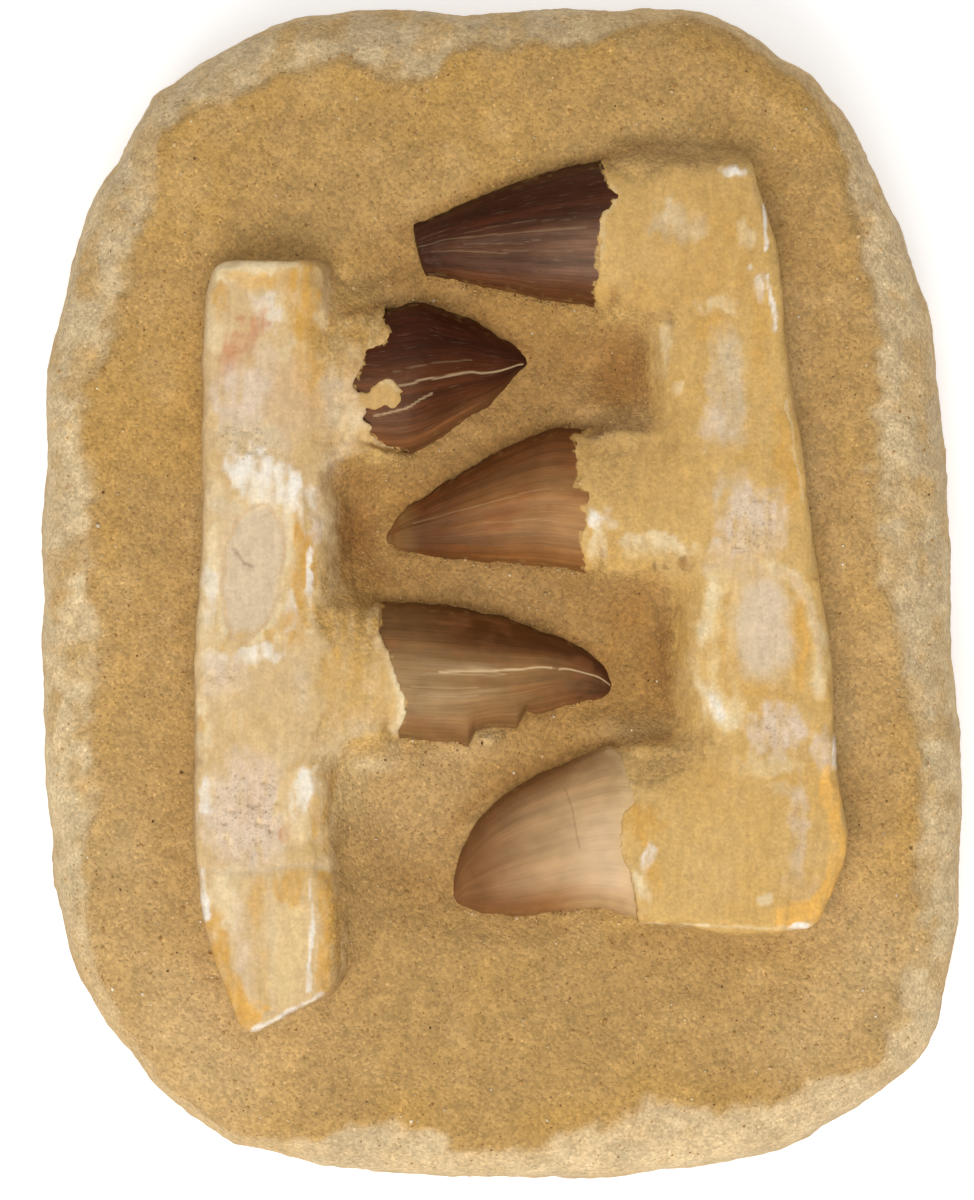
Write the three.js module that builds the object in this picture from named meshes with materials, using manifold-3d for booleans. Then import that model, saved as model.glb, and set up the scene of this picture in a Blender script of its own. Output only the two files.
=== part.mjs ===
// Fossil mosasaur jaw on a sandstone matrix slab, life size.
// Two parallel jaw bones lie on the slab with their teeth pointing at each other:
// three tooth crowns grow from the right bone and two from the left one.
// Units are millimetres, +Z is up. The slab lies on its flat underside at Z = 0,
// with its length along Y. The origin is under the middle of the slab.
import * as THREE from "three";
import { mergeVertices } from "three/addons/utils/BufferGeometryUtils.js";
import Module from "manifold-3d";

const wasm = await Module();
wasm.setup();

// ---------------------------------------------------------------- sizes (mm)
const GAP = 0.3; // clearance left between pieces that are set into each other

// Slab outline: a superellipse whose four corners differ, with a few slow waves.
const SLAB_HALF_WIDTH = 87.67;
const SLAB_HALF_LENGTH = 112.03;
const CORNER_POWER = { backRight: 2.58, backLeft: 2.54, frontLeft: 3.41, frontRight: 3.81 };
const EDGE_WAVES = [
  [-0.23, 1.55],
  [-0.38, -1.3],
  [-0.41, -0.36],
  [-1.13, -0.39],
  [-0.01, -1.19],
  [0.25, 0.51],
  [0.06, 0.83],
]; // cosine and sine height of the 1st, 2nd, ... wave round the edge
const SLAB_AROUND = 64; // steps round the outline
const TOP_RINGS = 17; // rings on the sand surface

const SAND_Z = 31; // level of the sand outside the jaws
const RIM_INSET = 12; // mean width of the broken rim, seen from above
const SLAB_PROFILE = [
  // [share of the rim inset, height] from the sand's edge down to the widest line
  [1.0, 30.6],
  [0.52, 27.6],
  [0.16, 22.5],
  [0.0, 15],
];
const SLAB_FOOT = [
  // [inset, height] from the widest line down to the flat underside
  [0.4, 8],
  [2.2, 2.2],
  [5.0, 0],
];

// Hollow brushed out between the jaws, and the deeper cups beside the tooth roots.
const BASIN = { x: 2.0, halfX: 27, y: 4, halfY: 63, soft: 11, depth: 2.2 };
const CUPS = [
  { x: 23.0, y: 41.5, rx: 9, ry: 10, depth: 4.5 },
  { x: 28.5, y: -13.5, rx: 7, ry: 13, depth: 5.0 },
  { x: -27.5, y: 11.0, rx: 6, ry: 11, depth: 5.0 },
  { x: -28.0, y: -56.0, rx: 5, ry: 20, depth: 2.4 },
];

// Jaw bones: [Y, edge X] down each side, with the height of the worn flat top.
const LEFT_BONE = {
  top: 40.6,
  bottom: 22,
  outer: [
    [61.2, -52.6],
    [49, -54.4],
    [21, -54.6],
    [-8.5, -55.9],
    [-27, -56.1],
    [-51, -55.2],
    [-71.5, -51.6],
    [-80.2, -46.9],
  ],
  inner: [
    [61.2, -34.6],
    [47, -33.9],
    [21, -34.2],
    [-1, -33.3],
    [-31, -33.3],
    [-49, -33.5],
    [-62, -32.2],
    [-73.4, -32.6],
    [-80.2, -46.3],
  ],
};
const RIGHT_BONE = {
  top: 41,
  bottom: 22,
  inner: [
    [79.4, 28.5],
    [49, 29.8],
    [28.5, 33.5],
    [-1, 36.3],
    [-23, 37.4],
    [-38, 39.1],
    [-61.8, 39.1],
  ],
  outer: [
    [79.4, 43.5],
    [67.4, 48.9],
    [43.3, 51.7],
    [17.4, 55.8],
    [-8.5, 59.5],
    [-34.5, 61.3],
    [-47.5, 62.8],
    [-61.8, 57.8],
  ],
};
const BONE_STEPS = 26; // cross-sections along a bone
const BONE_EDGE = 2.6; // rounding of the long top edges
const BONE_FLARE = 1.2; // how far the side walls lean out at the bottom

// Tooth crowns: middle of the base, control point of the bent axis, tip,
// half width at base and tip, fullness of the taper, height of the axis.
const TEETH = {
  tooth_1: { jaw: "right", base: [19.1, 66.9], bend: [2, 65.6], tip: [-15.5, 63.9], half: 13.7, end: 4.4, taper: 0.85, z: 30.2, root: [40, 65.5], rootHalf: 14.0 },
  tooth_2: { jaw: "left", base: [-19.6, 39.2], bend: [-7, 41.8], tip: [5.5, 43.7], half: 13.7, end: 0.8, taper: 0.64, z: 29.6, root: [-40, 36.5], rootHalf: 13.0 },
  tooth_3: { jaw: "right", base: [15.2, 17.2], bend: [-4, 15.2], tip: [-20.6, 10.7], half: 13.5, end: 2.4, taper: 0.72, z: 29.8, root: [44, 16.8], rootHalf: 14.5 },
  tooth_4: { jaw: "left", base: [-20.3, -14.4], bend: [0, -14.2], tip: [20.4, -16.5], half: 12.7, end: 2.0, taper: 0.46, z: 29.8, root: [-42, -15.5], rootHalf: 14.0 },
  tooth_5: { jaw: "right", base: [23.8, -44.5], bend: [2, -47], tip: [-8.5, -57.6], half: 16.1, end: 0.9, taper: 0.5, z: 29.8, root: [48, -45.4], rootHalf: 16.4 },
};
const CROWN_FLATTEN = 0.68; // crown thickness over its width
const CROWN_AROUND = 16;
const CROWN_RINGS = 10;
const ROOT_RINGS = 4;
const ROOT_POWER = 2.7; // roots are fuller than an ellipse in section

// ------------------------------------------------------------------- helpers
const mix = (a, b, t) => a + (b - a) * t;
const smooth = (t) => {
  const s = Math.min(1, Math.max(0, t));
  return s * s * (3 - 2 * s);
};

// Smooth curve x(y) through a short table of [y, x], y falling.
function along(table, y) {
  let i = 0;
  while (i < table.length - 2 && y < table[i + 1][0]) i++;
  const p = (k) => table[Math.min(table.length - 1, Math.max(0, k))];
  const slope = (k) => {
    const a = p(k - 1);
    const b = p(k + 1);
    return b[0] === a[0] ? 0 : (b[1] - a[1]) / (b[0] - a[0]);
  };
  const [y0, x0] = p(i);
  const [y1, x1] = p(i + 1);
  const t = Math.min(1, Math.max(0, (y - y0) / (y1 - y0)));
  const d = y1 - y0;
  const t2 = t * t;
  const t3 = t2 * t;
  return (
    (2 * t3 - 3 * t2 + 1) * x0 +
    (t3 - 2 * t2 + t) * d * slope(i) +
    (-2 * t3 + 3 * t2) * x1 +
    (t3 - t2) * d * slope(i + 1)
  );
}

// Closed skin over rings of equal length, capped by a fan at both ends.
function loft(rings) {
  const n = rings[0].length;
  const points = rings.flat();
  const index = [];
  for (let k = 0; k + 1 < rings.length; k++)
    for (let i = 0; i < n; i++) {
      const a = k * n + i;
      const b = k * n + ((i + 1) % n);
      index.push(a, b, a + n, b, b + n, a + n);
    }
  const cap = (k, flip) => {
    const c = rings[k].reduce((s, p) => s.map((v, j) => v + p[j] / n), [0, 0, 0]);
    points.push(c);
    for (let i = 0; i < n; i++) {
      const a = k * n + i;
      const b = k * n + ((i + 1) % n);
      index.push(...(flip ? [b, a, points.length - 1] : [a, b, points.length - 1]));
    }
  };
  cap(0, true);
  cap(rings.length - 1, false);
  const g = new THREE.BufferGeometry();
  g.setAttribute("position", new THREE.Float32BufferAttribute(points.flat(), 3));
  g.setIndex(index);
  return g;
}

// Closed geometry to solid and back.
function solid(geometry) {
  const g = mergeVertices(geometry, 1e-4);
  const make = (triVerts) =>
    new wasm.Manifold(new wasm.Mesh({ numProp: 3, vertProperties: new Float32Array(g.attributes.position.array), triVerts }));
  const tri = new Uint32Array(g.index.array);
  const made = make(tri);
  if (made.volume() > 0) return made;
  for (let i = 0; i < tri.length; i += 3) [tri[i + 1], tri[i + 2]] = [tri[i + 2], tri[i + 1]];
  return make(tri);
}
function geometryOf(s) {
  const m = s.getMesh();
  const v = new Float32Array(m.numVert * 3);
  for (let i = 0; i < m.numVert; i++) v.set(m.vertProperties.subarray(i * m.numProp, i * m.numProp + 3), i * 3);
  const g = new THREE.BufferGeometry();
  g.setAttribute("position", new THREE.BufferAttribute(v, 3));
  g.setIndex(new THREE.BufferAttribute(new Uint32Array(m.triVerts), 1));
  g.computeVertexNormals();
  return g;
}

// ---------------------------------------------------------------------- slab
function edgeRadius(a) {
  const c = Math.cos(a);
  const s = Math.sin(a);
  const p = s >= 0 ? (c >= 0 ? CORNER_POWER.backRight : CORNER_POWER.backLeft) : c < 0 ? CORNER_POWER.frontLeft : CORNER_POWER.frontRight;
  let r = (Math.abs(c / SLAB_HALF_WIDTH) ** p + Math.abs(s / SLAB_HALF_LENGTH) ** p) ** (-1 / p);
  EDGE_WAVES.forEach(([wc, ws], k) => (r += wc * Math.cos((k + 1) * a) + ws * Math.sin((k + 1) * a)));
  return r;
}
const angles = Array.from({ length: SLAB_AROUND }, (_, i) => (2 * Math.PI * (i + 0.5)) / SLAB_AROUND);
// all pieces are drawn round one point, then moved so that the middle of the outline's extent is the origin
const spread = (f) => {
  const v = angles.map((a) => edgeRadius(a) * f(a));
  return (Math.min(...v) + Math.max(...v)) / 2;
};
const MIDDLE = [spread(Math.cos), spread(Math.sin)];
const centred = (geometry) => geometry.translate(-MIDDLE[0], -MIDDLE[1], 0);
const rimInset = (a) => RIM_INSET + 2.2 * Math.cos(2 * a + 0.4) - 3.2 * Math.cos(4 * a) * 0.6 + 1.4 * Math.sin(3 * a + 1.0);

function sandZ(x, y) {
  const edge = (d, half) => 1 - smooth((Math.abs(d) - half + BASIN.soft / 2) / BASIN.soft);
  let z = SAND_Z - BASIN.depth * edge(x - BASIN.x, BASIN.halfX) * edge(y - BASIN.y, BASIN.halfY);
  for (const c of CUPS) z -= c.depth * Math.exp(-(((x - c.x) / c.rx) ** 2) - ((y - c.y) / c.ry) ** 2);
  return z + 0.25 * Math.sin(x * 0.11 + 1) * Math.cos(y * 0.083);
}

function slabSolid() {
  const at = (a, inset, z) => [(edgeRadius(a) - inset) * Math.cos(a), (edgeRadius(a) - inset) * Math.sin(a), z];
  const rings = [];
  for (const [inset, z] of [...SLAB_FOOT].reverse()) rings.push(angles.map((a) => at(a, inset, z)));
  for (const [share, z] of [...SLAB_PROFILE].reverse()) rings.push(angles.map((a) => at(a, share * rimInset(a), z)));
  const rim = rings[rings.length - 1];
  for (let k = 1; k < TOP_RINGS; k++) {
    const f = 1 - k / TOP_RINGS;
    rings.push(rim.map(([x, y]) => [x * f, y * f, mix(sandZ(x * f, y * f), rim[0][2], f > 0.97 ? 1 : 0)]));
  }
  return solid(centred(loft(rings)));
}

// --------------------------------------------------------------------- bones
// Section of a bone: rounded upper edges, walls that lean out a little downwards.
function boneSection(bone, y, grow, shrink, drop) {
  const left = Math.min(along(bone.inner, y), along(bone.outer, y)) + shrink - grow;
  const right = Math.max(along(bone.inner, y), along(bone.outer, y)) - shrink + grow;
  const top = bone.top - drop + grow;
  const low = bone.bottom - grow;
  const r = Math.min(BONE_EDGE, Math.max(0.15, (right - left) * 0.3));
  const f = Math.min(BONE_FLARE, (right - left) * 0.4);
  return [
    [left - f, y, low],
    [right + f, y, low],
    [right + 0.4 * f, y, mix(low, top, 0.5)],
    [right, y, top - r],
    [right - 0.3 * r, y, top - 0.3 * r],
    [right - r, y, top],
    [mix(left, right, 0.5), y, top + 0.35],
    [left + r, y, top],
    [left + 0.3 * r, y, top - 0.3 * r],
    [left, y, top - r],
    [left - 0.4 * f, y, mix(low, top, 0.5)],
  ];
}
function boneSolid(bone, grow) {
  const y0 = bone.outer[0][0];
  const y1 = bone.outer[bone.outer.length - 1][0];
  const rings = [boneSection(bone, y0 + grow, grow, 1.6, 2.4), boneSection(bone, y0 - 0.6 + grow, grow, 0.5, 0.8)];
  for (let k = 1; k < BONE_STEPS; k++) rings.push(boneSection(bone, mix(y0, y1, k / BONE_STEPS), grow, 0, 0));
  rings.push(boneSection(bone, y1 + 0.6 - grow, grow, bone === RIGHT_BONE ? 0.5 : 0, 0.8), boneSection(bone, y1 - grow, grow, bone === RIGHT_BONE ? 1.6 : 0, 2.4));
  return solid(centred(loft(rings)));
}

// --------------------------------------------------------------------- teeth
function axisOf(t, s) {
  const q = (k) => (1 - s) ** 2 * t.base[k] + 2 * s * (1 - s) * t.bend[k] + s * s * t.tip[k];
  const d = (k) => 2 * (1 - s) * (t.bend[k] - t.base[k]) + 2 * s * (t.tip[k] - t.bend[k]);
  const l = Math.hypot(d(0), d(1));
  return { at: [q(0), q(1)], dir: [d(0) / l, d(1) / l] };
}
const ringAt = (at, dir, z, half, high, power, n) =>
  Array.from({ length: n }, (_, i) => {
    const a = (2 * Math.PI * i) / n;
    const c = Math.cos(a);
    const s = Math.sin(a);
    const u = half * Math.sign(c) * Math.abs(c) ** (2 / power);
    const w = high * Math.sign(s) * Math.abs(s) ** (2 / power);
    return [at[0] - dir[1] * u, at[1] + dir[0] * u, z + w];
  });
function crownSolid(t, grow) {
  const rings = [];
  for (let k = 0; k <= CROWN_RINGS; k++) {
    const s = k / CROWN_RINGS;
    const { at, dir } = axisOf(t, s);
    const half = t.end + (t.half - t.end) * (1 - s) ** t.taper;
    const back = k === 0 ? grow : k === CROWN_RINGS ? -grow : 0;
    rings.push(ringAt([at[0] - dir[0] * back, at[1] - dir[1] * back], dir, t.z - 1.5 * s * s, half + grow, half * CROWN_FLATTEN + grow, 2.15, CROWN_AROUND));
  }
  return solid(centred(loft(rings)));
}
function rootSolid(t, grow) {
  const { at, dir } = axisOf(t, 0);
  const start = [at[0] - dir[0] * (GAP - grow), at[1] - dir[1] * (GAP - grow)];
  const run = [t.root[0] - start[0], t.root[1] - start[1]];
  const rings = [];
  for (let k = 0; k <= ROOT_RINGS; k++) {
    const s = k / ROOT_RINGS;
    const high = mix(t.half * CROWN_FLATTEN + 0.3, t.half * CROWN_FLATTEN + 0.5, s);
    const turn = 1 - s;
    const d = [mix(Math.sign(dir[0]), dir[0], turn), mix(0, dir[1], turn)];
    const l = Math.hypot(...d);
    rings.push(ringAt([start[0] + run[0] * s, start[1] + run[1] * s], [d[0] / l, d[1] / l], t.z + 0.2 * s, mix(t.half + 0.4, t.rootHalf, smooth(s)) + grow, high + grow, ROOT_POWER, CROWN_AROUND));
  }
  return solid(centred(loft(rings)));
}

const jawSolid = (side, bone, grow) =>
  Object.values(TEETH)
    .filter((t) => t.jaw === side)
    .reduce((s, t) => s.add(rootSolid(t, grow)), boneSolid(bone, grow));

// ------------------------------------------------------------------ assembly
const part = new THREE.Group();
const COLOURS = {
  matrix_slab: [0xb8925a, 0.95],
  jaw_left: [0xdcb987, 0.75],
  jaw_right: [0xd3ac6c, 0.75],
  tooth_1: [0x4a2a1c, 0.35],
  tooth_2: [0x552c1a, 0.35],
  tooth_3: [0x8a5a32, 0.35],
  tooth_4: [0x937049, 0.35],
  tooth_5: [0xbd9770, 0.35],
};
function addPiece(name, s) {
  const [color, roughness] = COLOURS[name];
  const mesh = new THREE.Mesh(geometryOf(s), new THREE.MeshStandardMaterial({ color, roughness, metalness: 0 }));
  mesh.name = name;
  part.add(mesh);
}

let slab = slabSolid();
for (const [side, bone] of [
  ["left", LEFT_BONE],
  ["right", RIGHT_BONE],
]) {
  addPiece("jaw_" + side, jawSolid(side, bone, 0));
  slab = slab.subtract(jawSolid(side, bone, GAP));
}
for (const [name, t] of Object.entries(TEETH)) {
  addPiece(name, crownSolid(t, 0));
  slab = slab.subtract(crownSolid(t, GAP));
}
addPiece("matrix_slab", slab);

export default part;
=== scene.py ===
"""Looks of a fossil mosasaur jaw on its matrix slab: sand slab with a scraped rim, two worn jaw bones
with their roots, five enamel crowns and loose sand grains. Lengths below are in millimetres in the frame
in which the specimen was drawn, seen from straight above; meshes are moved by MIDDLE and scaled to metres."""
import math

import bpy
import numpy as np
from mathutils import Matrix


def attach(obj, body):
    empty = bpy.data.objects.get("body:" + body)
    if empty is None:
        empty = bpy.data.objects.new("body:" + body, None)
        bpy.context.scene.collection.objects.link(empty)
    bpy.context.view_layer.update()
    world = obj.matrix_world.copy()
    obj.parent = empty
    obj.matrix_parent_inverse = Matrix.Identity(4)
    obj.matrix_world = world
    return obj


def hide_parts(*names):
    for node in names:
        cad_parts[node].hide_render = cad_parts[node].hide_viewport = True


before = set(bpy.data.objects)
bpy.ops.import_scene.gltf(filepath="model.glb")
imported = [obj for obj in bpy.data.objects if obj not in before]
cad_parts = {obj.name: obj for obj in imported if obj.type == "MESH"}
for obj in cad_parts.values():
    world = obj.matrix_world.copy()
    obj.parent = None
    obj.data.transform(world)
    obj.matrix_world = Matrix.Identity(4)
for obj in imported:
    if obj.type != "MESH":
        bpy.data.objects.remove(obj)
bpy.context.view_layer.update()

# ------------------------------------------------------------------ small maths
MM = 0.001


def ramp(t, lo, hi):
    s = np.clip((t - lo) / (hi - lo), 0.0, 1.0)
    return s * s * (3 - 2 * s)


def mix(a, b, t):
    return a + (b - a) * t


def smin(a, b, k):
    h = np.clip(0.5 + 0.5 * (b - a) / k, 0.0, 1.0)
    return b + (a - b) * h - k * h * (1 - h)


def smax(a, b, k):
    return -smin(-a, -b, k)


def _hash(i, j, k, seed):
    n = ((i * 73856093) ^ (j * 19349663) ^ (k * 83492791) ^ (seed * 265443576)) & 0xFFFFFFFF
    for _ in range(2):
        n = ((n ^ (n >> 16)) * 0x45D9F3B) & 0xFFFFFFFF
    n = n ^ (n >> 16)
    return n / 2147483647.5 - 1.0


def noise(x, y, z, size, seed):
    """Smooth value noise from -1 to 1 with lumps of the given size."""
    x, y, z = np.broadcast_arrays(np.asarray(x, float) / size, np.asarray(y, float) / size, np.asarray(z, float) / size)
    i, j, k = (np.floor(v).astype(np.int64) for v in (x, y, z))
    f, g, h = x - i, y - j, z - k
    f, g, h = (v * v * v * (v * (v * 6 - 15) + 10) for v in (f, g, h))
    total = 0.0
    for a, wa in ((0, 1 - f), (1, f)):
        for b, wb in ((0, 1 - g), (1, g)):
            w = wa * wb
            total = total + w * ((1 - h) * _hash(i + a, j + b, k, seed) + h * _hash(i + a, j + b, k + 1, seed))
    return total


def fbm(x, y, z, size, octaves, seed, gain=0.5):
    total, amp = 0.0, 1.0
    for o in range(octaves):
        total = total + amp * noise(x, y, z, size / 2.03**o, seed + 17 * o)
        amp *= gain
    return total


def along(table, y):
    """Smooth curve x(y) through a short table of [y, x], y falling."""
    t = np.array(sorted(table, key=lambda p: p[0]))
    ys, xs = t[:, 0], t[:, 1]
    m = np.gradient(xs, ys)
    y = np.clip(np.asarray(y, float), ys[0], ys[-1])
    i = np.clip(np.searchsorted(ys, y, side="right") - 1, 0, len(ys) - 2)
    d = ys[i + 1] - ys[i]
    s = (y - ys[i]) / d
    return (
        (2 * s**3 - 3 * s**2 + 1) * xs[i]
        + (s**3 - 2 * s**2 + s) * d * m[i]
        + (-2 * s**3 + 3 * s**2) * xs[i + 1]
        + (s**3 - s**2) * d * m[i + 1]
    )


# ------------------------------------------------------------- the drawn frame
# The specimen is drawn as seen by a camera straight above it. A spot (u, v) is a place in that view,
# 974 wide and 1200 high, and each spot is 0.19 mm at 1000 mm below the camera.
EYE = (-2.565, -1.14, 1015.0)
SPOT = 0.19


def spot(u, v, z=40.0):
    s = SPOT * (EYE[2] - z) / 1000
    return np.array([EYE[0] + (np.asarray(u, float) - 487) * s, EYE[1] + (600 - np.asarray(v, float)) * s])


def seen(x, y, z):
    s = SPOT * (EYE[2] - z) / 1000
    return 487 + (x - EYE[0]) / s, 600 - (y - EYE[1]) / s


# ---------------------------------------------------------------------- palette
def colour(r, g, b):
    c = np.array([r, g, b], float) / 255
    return np.where(c <= 0.04045, c / 12.92, ((c + 0.055) / 1.055) ** 2.4) * ALBEDO


ALBEDO = 0.88  # pigment for a tone as it looks under the studio light
PIGMENT = {
    "sand": colour(188, 149, 90),
    "sand_gold": colour(199, 155, 84),
    # darker sand, used as painted shade in hollows, pits, grooves and along the upper sides of the crowns
    "sand_shaded": colour(154, 108, 54),
    "sand_pale": colour(206, 170, 115),
    "rim": colour(225, 196, 149),
    "rim_grey": colour(204, 178, 137),
    "ochre": colour(213, 172, 102),
    "honey": colour(203, 160, 91),
    "gold": colour(215, 163, 78),
    "orange": colour(240, 182, 88),
    "tan": colour(218, 184, 132),
    "clay": colour(217, 180, 133),
    "cream": colour(240, 216, 170),
    "butter": colour(234, 202, 143),
    "white": colour(249, 239, 222),
    "grey": colour(214, 191, 156),
    "lilac": colour(228, 203, 175),
    "socket": colour(223, 198, 162),
    "stain": colour(208, 150, 104),
    "dark": colour(86, 60, 36),
}

# ------------------------------------------------------------------ slab outline
HALF_WIDTH, HALF_LENGTH = 87.67, 112.03
CORNER_POWER = (2.58, 2.54, 3.41, 3.81)  # back right, back left, front left, front right
EDGE_WAVES = [(-0.23, 1.55), (-0.38, -1.3), (-0.41, -0.36), (-1.13, -0.39), (-0.01, -1.19), (0.25, 0.51), (0.06, 0.83)]


def edge_radius(a):
    c, s = np.cos(a), np.sin(a)
    p = np.where(s >= 0, np.where(c >= 0, CORNER_POWER[0], CORNER_POWER[1]), np.where(c < 0, CORNER_POWER[2], CORNER_POWER[3]))
    r = (np.abs(c / HALF_WIDTH) ** p + np.abs(s / HALF_LENGTH) ** p) ** (-1 / p)
    for k, (wc, ws) in enumerate(EDGE_WAVES, 1):
        r = r + wc * np.cos(k * a) + ws * np.sin(k * a)
    return r


_turn = 2 * np.pi * (np.arange(64) + 0.5) / 64
MIDDLE = np.array([(v.min() + v.max()) / 2 for v in (edge_radius(_turn) * np.cos(_turn), edge_radius(_turn) * np.sin(_turn))] + [0.0])

# Knocks and swellings of the broken edge: [degrees, half width in degrees, mm].
EDGE_KNOCKS = [
    (32, 5, 1.0), (48, 5, -1.4), (56, 2, -0.5), (62.5, 1.6, -0.9), (71, 4, 0.8), (79, 2.5, -0.7), (94, 2.5, -0.8),
    (103, 4, 0.5), (110, 3, 0.8), (124.5, 1.5, 0.9), (131, 3, -1.1), (154.5, 4, 0.8), (164, 4, -0.5), (189, 7, 0.4),
    (208, 2.5, -0.8), (220, 4, 0.6), (231, 3, -0.8), (244, 2.6, 1.1), (262, 5, -0.5), (280.5, 4, 0.8), (303, 5, -1.35),
    (313, 3.6, 1.8), (329, 5, -0.95), (344, 5, 0.3),
]
# Width of the scraped rim, from the edge to where the sand begins: [degrees, mm].
RIM_WIDTH = [
    (4, 14.3), (10, 16.0), (17, 15.4), (24, 15.1), (29, 14.2), (35, 13), (39, 12.7), (44, 10.9), (48, 9.2), (51, 6.5), (54, 5.0),
    (60, 3.4), (68, 3.0), (76, 4.4), (81, 8.0), (84, 9.7), (90, 8.4), (95, 8.2), (97.5, 14.5), (102, 16.1), (104, 14), (107, 10.9), (110, 11.1),
    (116, 11.2), (121, 9.5), (127, 7.8), (131, 11.3), (135, 12.9), (140, 14.3), (144, 14), (148, 11.3), (151, 10), (158, 8.8),
    (163, 9.3), (166, 11.8), (169, 10.7), (177, 11), (183, 11), (188, 13.6), (192, 12.4), (198, 10), (202, 10.5), (206, 11.8), (211, 8.8), (216, 7.4),
    (222, 6.0), (228, 4.0), (238, 2.8), (243, 3.0), (248, 4.4), (252, 7.9), (254, 9.9), (259, 10.7), (264, 9.5), (265.5, 7.5), (268, 6.8), (272, 7.4),
    (275, 8.6), (278, 10.6), (283, 13), (286, 15.4), (290, 14.4), (293, 11.9), (296, 10.7), (299, 9.8), (302, 9.8), (307, 6.9),
    (309, 5.9), (310.3, 7.8), (311.5, 11), (314, 11.3), (316, 12.6), (319, 10.2), (323, 11.2), (326, 13.3), (331, 10), (335, 10.1),
    (341, 10.4), (346, 11.3), (352, 12.4), (357, 13.1),
]


def knocks(a):
    deg = np.degrees(a) % 360
    r = np.zeros_like(deg)
    for at, wide, high in EDGE_KNOCKS:
        d = (deg - at + 180) % 360 - 180
        r += high * np.exp(-((d / wide) ** 2))
    return r


def rim_width(a):
    deg = np.degrees(a) % 360
    d, w = np.array(RIM_WIDTH).T
    return np.interp(deg, d, w, period=360)


# ------------------------------------------------------------------------- jaws
LEFT = {
    "side": -1,
    "top": 40.6,
    "ends": (61.8, -84.0),
    "outer": [[61.2, -53.3], [49, -54.8], [21, -55.0], [-8.5, -56.3], [-27, -56.5], [-51, -56.1], [-56, -55.6], [-61.5, -54.8], [-70.1, -52.4], [-77, -49.7], [-84, -46.6]],
    "inner": [[61.2, -34.0], [47, -33.5], [21, -33.3], [-1, -32.6], [-31, -32.8], [-49, -32.6], [-56, -31.4], [-62, -30.9], [-84, -31.1]],
    "cut": (spot(250, 1034), spot(325, 996)),
    "corner": 4.2,
    "drift": [(-90, 0.2), (-52, 0.25), (-42, 0.6), (-30, 1.0), (45, 1.0), (55, 0.6), (70, 0.5)],
    "bank": [(-90, 0.9), (-52, 0.9), (-42, 0.9), (-30, 1.0), (45, 1.0), (55, 0.8), (70, 0.6)],
    "foot": [(-90, 15), (-45, 15), (-30, 9.5), (45, 8.5), (60, 11)],
}
RIGHT = {
    "side": 1,
    "top": 41.0,
    "ends": (79.6, -61.8),
    "inner": [[79.6, 29.5], [49, 30.2], [28.5, 32.8], [-1, 35.4], [-23, 36.5], [-38, 38.6], [-61.8, 39.1]],
    "outer": [[79.6, 46.1], [67.4, 50.1], [43.3, 53.0], [34, 54.5], [17.4, 56.9], [-8.5, 60.5], [-34.5, 62.3], [-47.5, 63.8], [-61.8, 58.7]],
    "cut": None,
    "corner": 3.2,
    "drift": [(-70, 0.8), (-60, 1.0), (60, 1.0), (75, 0.8), (85, 0.5)],
    "bank": [(-70, 0.8), (-60, 1.0), (60, 1.0), (75, 0.8), (85, 0.5)],
    "foot": [(-70, 9), (80, 9)],
}
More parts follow.
